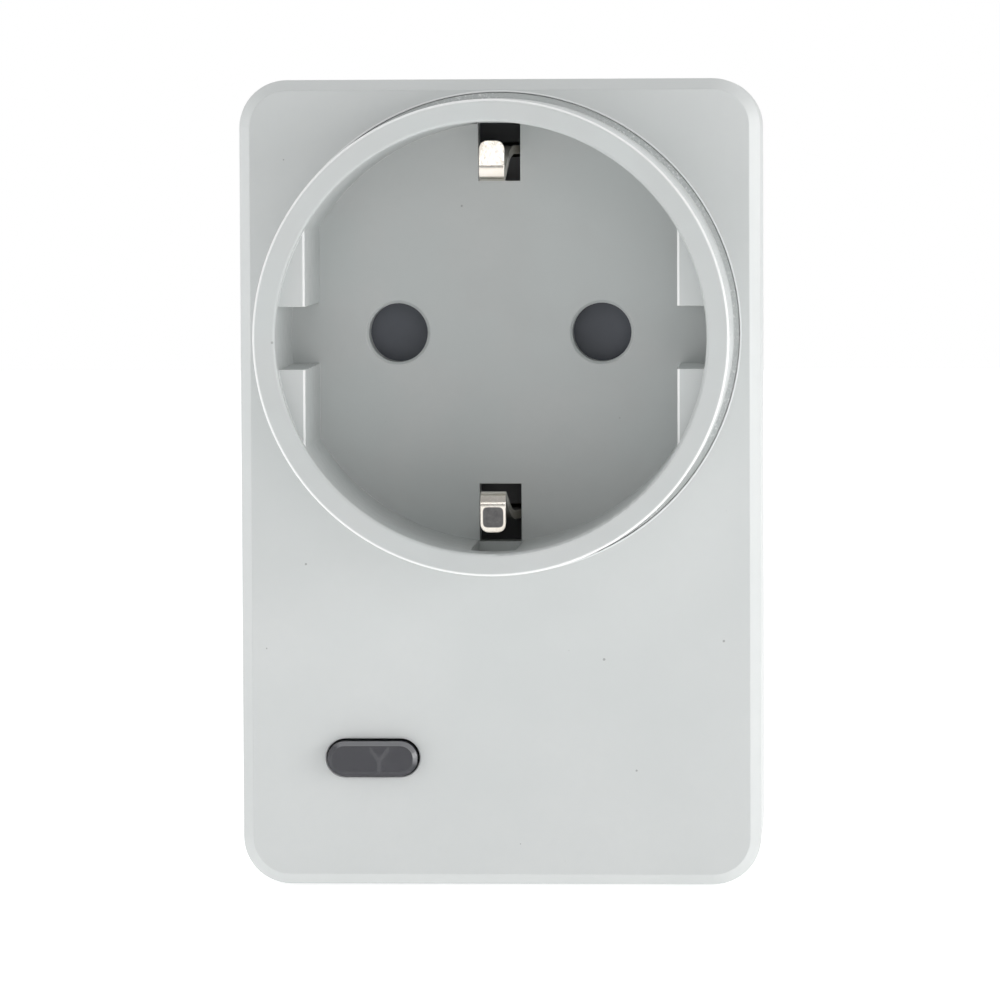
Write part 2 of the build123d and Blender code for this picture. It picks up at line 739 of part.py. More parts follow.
# ---- Inlet links: copper strips from the pins' tails to the circuit board ----
def inlet_link(side):
    """The strip on the pin at x = side * pin_x, bent back and down to a solder lug."""
    plate = pin_tail + fit_gap + strip / 2
    run = clip_base + 2 * strip
    with BuildPart() as link:
        with BuildSketch(Plane.YZ.offset(side * (pin_x - link_offset))):
            with BuildLine():
                FilletPolyline(
                    (-plate, 2 * pin_tail_radius),
                    (-plate, -link_drop),
                    (-run, -link_drop),
                    (-run, lug_z),
                    (-board_front - lug_through, lug_z),
                    radius=strip,
                )
            trace(line_width=strip)
        extrude(amount=link_width / 2, both=True)
        with BuildSketch(at(plate - strip)):
            with Locations((side * pin_x, 0)):
                Circle(pin_tail_radius + fit_gap)
        extrude(amount=2 * strip, mode=Mode.SUBTRACT)
        # The lug narrows to pass through the board
        with BuildSketch(at(board_back - lug_slot_room)):
            with Locations((side * (pin_x - link_offset), lug_z)):
                with GridLocations(link_width, 0, 2, 1):
                    Rectangle(link_width - lug_width, 4 * strip)
        extrude(amount=board_front - board_back + 2 * lug_through, mode=Mode.SUBTRACT)
    return link


live_inlet_link = inlet_link(1)
live_inlet_link.part.label = "live_inlet_link"
export_step(live_inlet_link.part, "parts/live_inlet_link.step")
neutral_inlet_link = inlet_link(-1)
neutral_inlet_link.part.label = "neutral_inlet_link"
export_step(neutral_inlet_link.part, "parts/neutral_inlet_link.step")

# ---- Circuit board, with holes for its posts and slots for the four lugs ----
with BuildPart() as circuit_board:
    board_middle = (board_top + board_bottom) / 2
    with BuildSketch(at(board_back)):
        with Locations((0, board_middle)):
            Rectangle(2 * board_half, board_top - board_bottom)
        with Locations((-post_x, post_low), (post_x, post_low)):
            notch = post_radius + post_room
            Circle(notch, mode=Mode.SUBTRACT)
            Rectangle(2 * notch, post_inset, align=(Align.CENTER, Align.MAX), mode=Mode.SUBTRACT)
        with Locations(*board_post_centres):
            Circle(board_screw + screw_clearance, mode=Mode.SUBTRACT)
        with Locations((0, lug_z)):
            for lug_x in (pin_x + tail_offset, pin_x - link_offset):
                with GridLocations(2 * lug_x, 0, 2, 1):
                    Rectangle(lug_width + lug_slot_room, strip + lug_slot_room, mode=Mode.SUBTRACT)
    extrude(amount=board_thickness - fit_gap)
circuit_board.part.label = "circuit_board"
export_step(circuit_board.part, "parts/circuit_board.step")


def boxed(x, z, width, height, rise, edge):
    """A moulded component body standing on the board, its top edges eased."""
    with BuildPart() as body:
        with BuildSketch(at(board_front)):
            with Locations((x, z)):
                Rectangle(width, height)
        extrude(amount=rise)
        fillet(body.faces().sort_by(Axis.Y)[0].edges(), edge)
    return body


def canned(x, z, radius, rise):
    """A round can standing on the board, with the crimp groove near its foot."""
    edge = 0.4
    groove_start = 1.0
    groove_width = 0.7
    groove_depth = 0.3
    with BuildPart() as can:
        with BuildSketch(at(board_front)):
            with Locations((x, z)):
                Circle(radius)
        extrude(amount=rise)
        fillet(can.faces().sort_by(Axis.Y)[0].edges(), edge)
        with BuildSketch(at(board_front + groove_start)):
            with Locations((x, z)):
                Circle(radius + groove_depth)
                Circle(radius - groove_depth, mode=Mode.SUBTRACT)
        extrude(amount=groove_width, mode=Mode.SUBTRACT)
    return can


# ---- Load relay ----
relay = boxed(x=board_half - 11.5, z=board_bottom + 9.0, width=18.4, height=10.2, rise=12.6, edge=0.4)
relay.part.label = "relay"
export_step(relay.part, "parts/relay.step")

# ---- Mains filter capacitor ----
filter_capacitor = boxed(x=board_half - 15.8, z=board_top - 5.5, width=13.0, height=5.0, rise=11.0, edge=0.3)
filter_capacitor.part.label = "filter_capacitor"
export_step(filter_capacitor.part, "parts/filter_capacitor.step")

# ---- Reservoir and output capacitors of the power supply ----
reservoir_capacitor = canned(x=6.5 - board_half, z=board_top - 7.6, radius=4.0, rise=10.0)
reservoir_capacitor.part.label = "reservoir_capacitor"
export_step(reservoir_capacitor.part, "parts/reservoir_capacitor.step")
output_capacitor = canned(x=-6.2, z=board_top - 5.2, radius=3.15, rise=9.0)
output_capacitor.part.label = "output_capacitor"
export_step(output_capacitor.part, "parts/output_capacitor.step")

# ---- Supply choke: a ferrite drum with its winding sunk between two flanges ----
with BuildPart() as supply_choke:
    choke_centre = (-4.4, board_top - 11.3)
    flange, winding = (1.2, 3.0), (4.6, 2.6)
    for start, (length, radius) in ((0, flange), (1.2, winding), (5.8, flange)):
        with BuildSketch(at(board_front + start)):
            with Locations(choke_centre):
                Circle(radius)
        extrude(amount=length)
supply_choke.part.label = "supply_choke"
export_step(supply_choke.part, "parts/supply_choke.step")

# ---- Varistor: a coated disc on edge ----
with BuildPart() as varistor:
    disc_radius = 3.8
    disc_half = 1.6
    disc_edge = 1.0
    with BuildSketch(Plane.YZ.offset(board_half - 6.3)):
        with Locations((-board_front - disc_radius - 0.4, board_top - 5.2)):
            Circle(disc_radius)
    extrude(amount=disc_half, both=True)
    fillet(varistor.edges(), disc_edge)
varistor.part.label = "varistor"
export_step(varistor.part, "parts/varistor.step")

# ---- Fuse: a small sleeve between two end caps, on wire legs ----
with BuildPart() as fuse:
    fuse_x = 7.0
    fuse_z = board_bottom + 1.5
    fuse_rise = 2.0
    leg_reach = 4.8
    fuse_centre = (-board_front - fuse_rise, fuse_z)
    sleeve, cap, wire = (6.0, 1.5), (1.2, 1.65), (2 * leg_reach, leg_radius)
    for shift, (length, radius) in ((0, sleeve), (-3.6, cap), (3.6, cap), (0, wire)):
        with BuildSketch(Plane.YZ.offset(fuse_x + shift)):
            with Locations(fuse_centre):
                Circle(radius)
        extrude(amount=length / 2, both=True)
    with BuildSketch(at(board_front)):
        with Locations((fuse_x - leg_reach, fuse_z), (fuse_x + leg_reach, fuse_z)):
            Circle(leg_radius)
    extrude(amount=fuse_rise)
fuse.part.label = "fuse"
export_step(fuse.part, "parts/fuse.step")

# ---- Shunt: the bridge of resistance alloy that the load current passes through ----
with BuildPart() as shunt:
    shunt_x = board_half - 6.5
    shunt_half = 1.5
    shunt_rise = 3.0
    shunt_strip = 0.8
    with BuildSketch(Plane.XY.offset(fuse_z)):
        with BuildLine():
            FilletPolyline(
                (shunt_x - shunt_half, -board_front),
                (shunt_x - shunt_half, -board_front - shunt_rise),
                (shunt_x + shunt_half, -board_front - shunt_rise),
                (shunt_x + shunt_half, -board_front),
                radius=shunt_strip,
            )
        trace(line_width=shunt_strip)
    extrude(amount=1.2, both=True)
shunt.part.label = "shunt"
export_step(shunt.part, "parts/shunt.step")


# ---- Chips: the metering circuit and the rectifier, each with its leads ----
def chip(x, z, width, height, lead_count):
    """A flat package with a row of leads along its upper and lower sides."""
    pitch = width / lead_count
    lead_length = 1.1
    lead_thickness = 0.25
    package_rise = 1.5
    with BuildPart() as package:
        with BuildSketch(at(board_front)):
            with Locations((x, z)):
                with GridLocations(pitch, height + lead_length - 0.2, lead_count, 2):
                    Rectangle(pitch * 0.4, lead_length)
        extrude(amount=lead_thickness)
        with BuildSketch(at(board_front + 2 * fit_gap)):
            with Locations((x, z)):
                Rectangle(width, height)
        extrude(amount=package_rise)
        chamfer(package.faces().sort_by(Axis.Y)[0].edges(), lead_thickness)
    return package


metering_chip = chip(x=8.7 - board_half, z=board_bottom + 2.3, width=6.4, height=2.6, lead_count=8)
metering_chip.part.label = "metering_chip"
export_step(metering_chip.part, "parts/metering_chip.step")
rectifier = chip(x=-3.6, z=button_z - 2.0, width=4.7, height=3.6, lead_count=2)
rectifier.part.label = "rectifier"
export_step(rectifier.part, "parts/rectifier.step")

# ---- Radio board: a thin board on edge, with a tinned can over its controller ----
with BuildPart() as radio_board:
    radio_x = 1.1 - board_half
    radio_depth = 13.6
    radio_height = 13.0
    radio_half = 0.4
    with BuildSketch(Plane.YZ.offset(radio_x)):
        with Locations((-board_front - radio_depth / 2 - 2 * fit_gap, board_top - radio_height)):
            Rectangle(radio_depth, radio_height)
    extrude(amount=radio_half, both=True)
radio_board.part.label = "radio_board"
export_step(radio_board.part, "parts/radio_board.step")
with BuildPart() as radio_shield:
    shield_depth = 8.4
    shield_height = 7.2
    with BuildSketch(Plane.YZ.offset(radio_x + radio_half + fit_gap)):
        with Locations((-board_front - shield_depth / 2 - 1.0, board_top - radio_height - 2.4)):
            Rectangle(shield_depth, shield_height)
    extrude(amount=4 * radio_half)
    fillet(radio_shield.edges().filter_by(Axis.X), 0.5)
radio_shield.part.label = "radio_shield"
export_step(radio_shield.part, "parts/radio_shield.step")

# ---- Tact switch behind the button, its plunger, and the status light ----
switch_side = 6.0
switch_rise = 3.5
plunger_radius = 1.7
plunger_length = 2.6
plunger_proud = 1.0
well_depth = 2.2
plunger_end = board_front + switch_rise + plunger_proud
with BuildPart() as tact_switch:
    with BuildSketch(at(board_front)):
        with Locations((stem_x, button_z)):
            RectangleRounded(switch_side, switch_side, 0.4)
    extrude(amount=switch_rise)
    with BuildSketch(at(board_front + switch_rise)):
        with Locations((stem_x, button_z)):
            Circle(plunger_radius + 2 * fit_gap)
    extrude(amount=-well_depth, mode=Mode.SUBTRACT)
tact_switch.part.label = "tact_switch"
export_step(tact_switch.part, "parts/tact_switch.step")
with BuildPart() as tact_plunger:
    with BuildSketch(at(plunger_end - plunger_length)):
        with Locations((stem_x, button_z)):
            Circle(plunger_radius)
    extrude(amount=plunger_length)
    fillet(tact_plunger.faces().sort_by(Axis.Y)[0].edges(), 0.3)
tact_plunger.part.label = "tact_plunger"
export_step(tact_plunger.part, "parts/tact_plunger.step")
with BuildPart() as status_light:
    light_centre = (stem_x - switch_side / 2 - 1.4, button_z)
    base_rise = 0.4
    with BuildSketch(at(board_front)):
        with Locations(light_centre):
            Rectangle(1.6, 0.8)
    extrude(amount=base_rise)
    with BuildSketch(at(board_front + base_rise)):
        with Locations(light_centre):
            Rectangle(1.1, 0.8)
    extrude(amount=0.5)
status_light.part.label = "status_light"
export_step(status_light.part, "parts/status_light.step")

# ---- Button key: a smoked cup with a flange that keeps it behind the front wall ----
with BuildPart() as power_button:
    key_length = button_length - 2 * button_gap
    key_height = button_height - 2 * button_gap
    flange_front = front_inside - key_rest_gap
    flange_back = flange_front - key_flange_thickness
    key_front = front_face + button_proud
    with BuildSketch(at(flange_back)):
        with Locations((button_x, button_z)):
            SlotOverall(key_length + 2 * key_flange, key_height + 2 * key_flange)
    extrude(amount=key_flange_thickness)
    with BuildSketch(at(flange_front)):
        with Locations((button_x, button_z)):
            SlotOverall(key_length, key_height)
    extrude(amount=key_front - flange_front)
    chamfer(power_button.faces().sort_by(Axis.Y)[0].edges(), button_bevel)
    with BuildSketch(at(flange_back)):
        with Locations((button_x, button_z)):
            SlotOverall(key_length - 2 * key_side_wall, key_height - 2 * key_side_wall)
    extrude(amount=key_front - key_front_thickness - flange_back, mode=Mode.SUBTRACT)
power_button.part.label = "power_button"
export_step(power_button.part, "parts/power_button.step")

# ---- Light guide: the Y-section stem pressed into the key that also pushes the switch ----
with BuildPart() as light_guide:
    stem_end = plunger_end + 2 * fit_gap
    with BuildSketch(at(stem_end)):
        with Locations((stem_x, button_z)):
            Rectangle(guide_rib, key_height, align=(Align.CENTER, Align.MAX))
        for lean in (-guide_spread, guide_spread):
            with Locations(Location((stem_x, button_z, 0), (0, 0, lean))):
                Rectangle(guide_rib, key_height, align=(Align.CENTER, Align.MIN))
        with Locations((stem_x, button_z)):
            SlotOverall(key_height + guide_spread_room, key_height - 2 * key_side_wall - 2 * fit_gap,
                        mode=Mode.INTERSECT)
    extrude(amount=key_front - key_front_thickness - fit_gap - stem_end)
light_guide.part.label = "light_guide"
export_step(light_guide.part, "parts/light_guide.step")

# ---- Screws, each kind one node of separate solids ----
housing_screws = pan_screw(
    seat=back_face + counterbore_depth - fit_gap, centres=post_centres, head_radius=2.2, head_height=1.7,
    shank_radius=housing_screw, shank_length=12.0, forward_tip=True,
)
housing_screws.part.label = "housing_screws"
export_step(housing_screws.part, "parts/housing_screws.step")
board_screws = pan_screw(
    seat=board_back - fit_gap, centres=board_post_centres, head_radius=1.8, head_height=1.2,
    shank_radius=board_screw, shank_length=8.0, forward_tip=True,
)
board_screws.part.label = "board_screws"
export_step(board_screws.part, "parts/board_screws.step")
carrier_screws = pan_screw(
    seat=carrier_back - fit_gap, centres=carrier_screw_centres, head_radius=1.7, head_height=1.1,
    shank_radius=small_screw, shank_length=4.8, forward_tip=True,
)
carrier_screws.part.label = "carrier_screws"
export_step(carrier_screws.part, "parts/carrier_screws.step")
holder_screws = pan_screw(
    seat=holder_seat + holder_thickness + fit_gap, centres=holder_screw_centres, head_radius=1.7,
    head_height=1.1, shank_radius=small_screw, shank_length=6.2, forward_tip=False,
)
holder_screws.part.label = "holder_screws"
export_step(holder_screws.part, "parts/holder_screws.step")
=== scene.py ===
from math import cos, pi, sin

import bmesh
import bpy
from mathutils import Matrix, Vector


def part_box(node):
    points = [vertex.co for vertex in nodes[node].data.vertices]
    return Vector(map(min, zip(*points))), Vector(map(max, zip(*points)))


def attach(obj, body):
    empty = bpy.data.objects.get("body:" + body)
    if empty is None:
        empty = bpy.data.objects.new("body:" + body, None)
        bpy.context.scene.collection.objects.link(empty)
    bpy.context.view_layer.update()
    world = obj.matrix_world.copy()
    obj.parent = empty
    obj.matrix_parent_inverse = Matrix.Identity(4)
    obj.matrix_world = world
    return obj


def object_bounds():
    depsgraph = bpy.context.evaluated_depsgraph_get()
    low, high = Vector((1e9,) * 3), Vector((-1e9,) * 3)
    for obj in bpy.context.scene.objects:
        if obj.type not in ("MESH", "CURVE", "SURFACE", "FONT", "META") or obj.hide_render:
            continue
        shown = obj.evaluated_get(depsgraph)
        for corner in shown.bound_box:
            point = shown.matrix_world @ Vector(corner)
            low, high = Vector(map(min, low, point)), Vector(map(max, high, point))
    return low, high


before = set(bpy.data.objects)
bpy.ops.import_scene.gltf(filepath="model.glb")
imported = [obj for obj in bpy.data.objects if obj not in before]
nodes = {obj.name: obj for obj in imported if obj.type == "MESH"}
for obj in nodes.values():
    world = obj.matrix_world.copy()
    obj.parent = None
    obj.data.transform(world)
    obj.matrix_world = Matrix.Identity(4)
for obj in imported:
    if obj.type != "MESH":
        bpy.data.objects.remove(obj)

cad_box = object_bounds()
MM = 0.001


# ---- Rear cover ----
# The shallow tray with the hollow plug boss, which everything else is built into. Injection moulded
# in pale grey-white plastic with a fine satin texture, the plug boss in one piece with the tray.

def new_finish(name):
    """An empty material with its tree, its surface shader and Object coordinates in millimetres."""
    finish = bpy.data.materials.new(name)
    finish.use_nodes = True
    tree = finish.node_tree
    surface = tree.nodes["Principled BSDF"]
    place = tree.nodes.new("ShaderNodeTexCoord")
    scaled = tree.nodes.new("ShaderNodeVectorMath")
    scaled.operation = "SCALE"
    scaled.inputs["Scale"].default_value = 1 / MM
    tree.links.new(place.outputs["Object"], scaled.inputs[0])
    return finish, tree, surface, scaled.outputs[0]


def join(tree, value, socket):
    """Links a node's output to a socket, or sets the socket to a plain value."""
    if isinstance(value, bpy.types.NodeSocket):
        tree.links.new(value, socket)
    else:
        socket.default_value = value


def noise(tree, place, scale, detail=2.0, rough=0.5, stretch=None, twist=0.0):
    """Cloudy noise with `scale` cells per millimetre; stretch squeezes it along each axis."""
    if stretch:
        mapping = tree.nodes.new("ShaderNodeMapping")
        mapping.inputs["Scale"].default_value = stretch
        tree.links.new(place, mapping.inputs["Vector"])
        place = mapping.outputs[0]
    cloud = tree.nodes.new("ShaderNodeTexNoise")
    cloud.inputs["Scale"].default_value = scale
    cloud.inputs["Detail"].default_value = detail
    cloud.inputs["Roughness"].default_value = rough
    cloud.inputs["Distortion"].default_value = twist
    tree.links.new(place, cloud.inputs["Vector"])
    return cloud.outputs["Fac"]


def cells(tree, place, scale, feature="F1"):
    """Distance to the nearest of a field of scattered points, for pits, specks and crystals."""
    field = tree.nodes.new("ShaderNodeTexVoronoi")
    field.feature = feature
    field.inputs["Scale"].default_value = scale
    tree.links.new(place, field.inputs["Vector"])
    return field.outputs["Distance"]


def remap(tree, value, low, high, to_low=0.0, to_high=1.0):
    """A value between low and high spread over the range to_low to to_high, and held beyond it."""
    span = tree.nodes.new("ShaderNodeMapRange")
    tree.links.new(value, span.inputs["Value"])
    span.inputs["From Min"].default_value = low
    span.inputs["From Max"].default_value = high
    span.inputs["To Min"].default_value = to_low
    span.inputs["To Max"].default_value = to_high
    return span.outputs["Result"]


def combine(tree, operation, first, second=0.0):
    """Arithmetic on one or two values."""
    sums = tree.nodes.new("ShaderNodeMath")
    sums.operation = operation
    join(tree, first, sums.inputs[0])
    join(tree, second, sums.inputs[1])
    return sums.outputs[0]


def blend_colour(tree, amount, first, second, kind="MIX"):
    """One colour laid over another by an amount from 0 to 1."""
    mix = tree.nodes.new("ShaderNodeMix")
    mix.data_type = "RGBA"
    mix.blend_type = kind
    join(tree, amount, mix.inputs["Factor"])
    join(tree, first if isinstance(first, bpy.types.NodeSocket) else (*first, 1.0), mix.inputs[6])
    join(tree, second if isinstance(second, bpy.types.NodeSocket) else (*second, 1.0), mix.inputs[7])
    return mix.outputs[2]


def relief(tree, surface, heights, depth, normal=None):
    """Bump from a height pattern, `depth` millimetres from its lowest to its highest."""
    bump = tree.nodes.new("ShaderNodeBump")
    bump.inputs["Strength"].default_value = 1.0
    bump.inputs["Distance"].default_value = depth * MM
    tree.links.new(heights, bump.inputs["Height"])
    if normal is not None:
        tree.links.new(normal, bump.inputs["Normal"])
    tree.links.new(bump.outputs["Normal"], surface.inputs["Normal"])
    return bump.outputs["Normal"]


def eased(tree, radius):
    """The normal with edges eased over a radius in millimetres, and how near an edge a point is."""
    rounding = tree.nodes.new("ShaderNodeBevel")
    rounding.samples = 4
    rounding.inputs["Radius"].default_value = radius * MM
    shape = tree.nodes.new("ShaderNodeNewGeometry")
    dot = tree.nodes.new("ShaderNodeVectorMath")
    dot.operation = "DOT_PRODUCT"
    tree.links.new(rounding.outputs["Normal"], dot.inputs[0])
    tree.links.new(shape.outputs["Normal"], dot.inputs[1])
    edge = remap(tree, dot.outputs["Value"], 0.98, 0.80)
    return rounding.outputs["Normal"], edge


def moulded(name, colour, shade, grain, grain_depth, roughness, edge_radius, edge_wear_and_highlight,
            specks=0.0, wear=0.35):
    """Moulded plastic: cloudy shade, spark-eroded grain, eased edges made paler partly by rubbing and
    partly as painted highlight, fine dust.
    """
    speck_colour = (0.10, 0.10, 0.10)
    speck_radius = 0.075
    rubbed_polish = 0.10
    finish, tree, surface, place = new_finish(name)
    clouds = noise(tree, place, 0.05, 3.0, 0.55)
    body = blend_colour(tree, remap(tree, clouds, 0.35, 0.65), colour, shade)
    soft = noise(tree, place, 0.9, 2.0)
    body = blend_colour(tree, remap(tree, soft, 0.4, 0.75, 0.0, 0.25), body, shade)
    normal, edge = eased(tree, edge_radius)
    scuffs = noise(tree, place, 1.6, 4.0, 0.7)
    # Painted highlight and wear: edges are paler partly from rubbing and partly as painted light catching
    # them
    rubbed_and_highlit = combine(tree, "MULTIPLY", edge, remap(tree, scuffs, 0.35, 0.6, 1.0 - wear, 1.0))
    body = blend_colour(tree, rubbed_and_highlit, body, edge_wear_and_highlight)
    if specks:
        spots = cells(tree, place, 0.30)
        size = remap(tree, noise(tree, place, 0.35, 1.0), 0.42, 0.75, 0.0, speck_radius)
        dots = combine(tree, "LESS_THAN", spots, size)
        body = blend_colour(tree, combine(tree, "MULTIPLY", dots, specks), body, speck_colour)
    join(tree, body, surface.inputs["Base Color"])
    fine = noise(tree, place, grain, 3.0, 0.6)
    matt = remap(tree, soft, 0.3, 0.7, roughness - 0.05, roughness + 0.06)
    polished = combine(tree, "MULTIPLY", rubbed_and_highlit, rubbed_polish)
    join(tree, combine(tree, "SUBTRACT", matt, polished), surface.inputs["Roughness"])
    surface.inputs["IOR"].default_value = 1.5
    relief(tree, surface, fine, grain_depth, normal)
    return finish


def put_on(finish, *names):
    """Gives a finish to the CAD pieces of those names."""
    for name in names:
        nodes[name].data.materials.clear()
        nodes[name].data.materials.append(finish)


housing_white = (0.70, 0.715, 0.71)
housing_shade = (0.665, 0.685, 0.68)
# Edge colour for rubbed edges and for painted edge highlights
housing_wear_and_highlight = (0.77, 0.785, 0.78)
housing_finish = moulded("housing_plastic", housing_white, housing_shade, 9.0, 0.006, 0.42, 0.16,
                         housing_wear_and_highlight, specks=0.45)
put_on(housing_finish, "rear_cover")


# ---- Plug pins ----
# Two solid brass pins turned on a lathe, nickel plated, and clamped by a collar behind the end wall.
# Plating is warm and bright, with faint turning rings and rub marks along the length from use.

def plated(name, colour, stain, roughness, ring_axis=None, depth=0.0015, rubs=(1.0, 1.0, 1.0)):
    """Bare or plated metal: cloudy tint, fine rub marks, and turning rings about an axis if given."""
    edge_radius = 0.12
    ring_pitch = 0.18
    ring_share = 0.25
    rubbed_edge = tuple(min(1.0, part * 1.15) for part in colour)
    finish, tree, surface, place = new_finish(name)
    clouds = noise(tree, place, 0.35, 4.0, 0.6, twist=0.4)
    body = blend_colour(tree, remap(tree, clouds, 0.4, 0.7), colour, stain)
    normal, edge = eased(tree, edge_radius)
    body = blend_colour(tree, combine(tree, "MULTIPLY", edge, 0.5), body, rubbed_edge)
    join(tree, body, surface.inputs["Base Color"])
    surface.inputs["Metallic"].default_value = 1.0
    rub = noise(tree, place, 2.2, 5.0, 0.7, stretch=rubs)
    join(tree, remap(tree, rub, 0.3, 0.75, roughness - 0.06, roughness + 0.14), surface.inputs["Roughness"])
    heights = rub
    if ring_axis is not None:
        split = tree.nodes.new("ShaderNodeSeparateXYZ")
        tree.links.new(place, split.inputs[0])
        ring_angle = combine(tree, "MULTIPLY", split.outputs[ring_axis], 2 * pi / ring_pitch)
        rings = combine(tree, "SINE", ring_angle)
        heights = combine(tree, "ADD", rub, combine(tree, "MULTIPLY", rings, ring_share))
    relief(tree, surface, heights, depth, normal)
    return finish


nickel = (0.80, 0.76, 0.70)
nickel_stain = (0.66, 0.60, 0.52)
pin_finish = plated("pin_nickel", nickel, nickel_stain, 0.20, ring_axis="Y", rubs=(1.0, 0.08, 1.0))
put_on(pin_finish, "live_pin", "neutral_pin")


# ---- Pin holder and contact carrier ----
# The holder is a thick plate screwed over both pins' collars; the carrier behind the socket's floor
# holds the contacts. Both are glass-filled plastic, dark grey and matt, with a faintly fibrous skin.

carrier_finish = moulded("carrier_plastic", (0.15, 0.155, 0.17), (0.18, 0.183, 0.195), 7.0, 0.010, 0.55,
                         0.10, (0.28, 0.28, 0.29))
put_on(carrier_finish, "pin_holder", "contact_carrier")


# ---- Screws ----
# Zinc plated steel screws, cold headed, with a cross recess pressed into each head. The plating is a
# cool grey with a slight yellowish bloom.

screw_finish = plated("screw_steel", (0.60, 0.60, 0.61), (0.50, 0.50, 0.47), 0.30, depth=0.003)
put_on(screw_finish, "holder_screws", "board_screws", "carrier_screws", "housing_screws")


# ---- Earth strips, cross link and receptacle ----
# Two long strips blanked from spring bronze and nickel plated, bent over at the socket end into
# rounded clips. The cross link joins them behind the pins and carries a sleeve for an earth pin.

def mask_between(tree, place, axis, low, high):
    """1 where the coordinate along an axis, in millimetres, lies between low and high, else 0."""
    split = tree.nodes.new("ShaderNodeSeparateXYZ")
    tree.links.new(place, split.inputs[0])
    above = combine(tree, "GREATER_THAN", split.outputs[axis], low)
    below = combine(tree, "LESS_THAN", split.outputs[axis], high)
    return combine(tree, "MULTIPLY", above, below)


def opened(finish):
    """A finish's tree, surface shader, place in millimetres and present colour, to add more to it."""
    tree = finish.node_tree
    surface = tree.nodes["Principled BSDF"]
    place = tree.nodes["Vector Math"].outputs[0]
    return tree, surface, place, surface.inputs["Base Color"].links[0].from_socket


strip_nickel = (0.88, 0.83, 0.76)
strip_stain = (0.76, 0.70, 0.61)
strip_finish = plated("nickel_strip", strip_nickel, strip_stain, 0.17, depth=0.002, rubs=(1.6, 0.15, 1.0))
put_on(strip_finish, "upper_earth_strip", "earth_cross_link")

# Painted reflection: the lower clip's tab is painted dark over a patch with rounded corners, as a dark
# reflection in its face
tab_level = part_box("lower_earth_strip")[0].y / MM
tab_centre_z = -16.42
patch_half = 0.95
patch_squareness = 5.0
reflection_dark = (0.05, 0.05, 0.055)
reflection_pale = (0.17, 0.165, 0.16)
tab_reflection_finish = strip_finish.copy()
tab_reflection_finish.name = "nickel_strip_dark_reflection"
reflection_tree, reflection_surface, reflection_place, lower_strip_colour = opened(tab_reflection_finish)
tab_front = mask_between(reflection_tree, reflection_place, "Y", tab_level - 0.5, tab_level + 0.75)
tab_spot = reflection_tree.nodes.new("ShaderNodeMapping")
tab_spot.vector_type = "TEXTURE"
tab_spot.inputs["Location"].default_value = (0.0, 0.0, tab_centre_z)
tab_spot.inputs["Scale"].default_value = (patch_half, 1.0, patch_half)
reflection_tree.links.new(reflection_place, tab_spot.inputs["Vector"])
tab_split = reflection_tree.nodes.new("ShaderNodeSeparateXYZ")
reflection_tree.links.new(tab_spot.outputs[0], tab_split.inputs[0])
tab_side = combine(reflection_tree, "ABSOLUTE", tab_split.outputs["X"])
tab_side = combine(reflection_tree, "POWER", tab_side, patch_squareness)
tab_tall = combine(reflection_tree, "ABSOLUTE", tab_split.outputs["Z"])
tab_tall = combine(reflection_tree, "POWER", tab_tall, patch_squareness)
tab_round = remap(reflection_tree, combine(reflection_tree, "ADD", tab_side, tab_tall), 1.15, 0.75)
tab_area = combine(reflection_tree, "MULTIPLY", tab_front, tab_round)
reflection_clouds = noise(reflection_tree, reflection_place, 1.5, 4.0, 0.7)
painted_reflection = blend_colour(reflection_tree, reflection_clouds, reflection_dark, reflection_pale)
lower_strip_colour = blend_colour(reflection_tree, tab_area, lower_strip_colour, painted_reflection)
join(reflection_tree, lower_strip_colour, reflection_surface.inputs["Base Color"])
put_on(tab_reflection_finish, "lower_earth_strip")

brass = (0.80, 0.62, 0.30)
brass_stain = (0.62, 0.44, 0.20)
brass_finish = plated("contact_brass", brass, brass_stain, 0.26, depth=0.003, rubs=(0.3, 1.0, 1.0))
put_on(brass_finish, "earth_receptacle")


# ---- Inlet links and mains contacts ----
# Bare copper strips carry the mains from the pins' riveted tails to the board. Folded brass clips
# grip the appliance's pins, and their tails run down to the board as well.

copper = (0.86, 0.50, 0.34)
copper_stain = (0.55, 0.28, 0.18)
copper_finish = plated("link_copper", copper, copper_stain, 0.30, depth=0.003, rubs=(0.2, 1.0, 1.0))
put_on(copper_finish, "live_inlet_link", "neutral_inlet_link")
put_on(brass_finish, "live_contact", "neutral_contact")


# ---- Circuit board ----
# Glass-epoxy laminate under green solder mask. Tracks stand a little proud under the mask and show
# a lighter green; the bare cut edge shows the straw-coloured laminate.

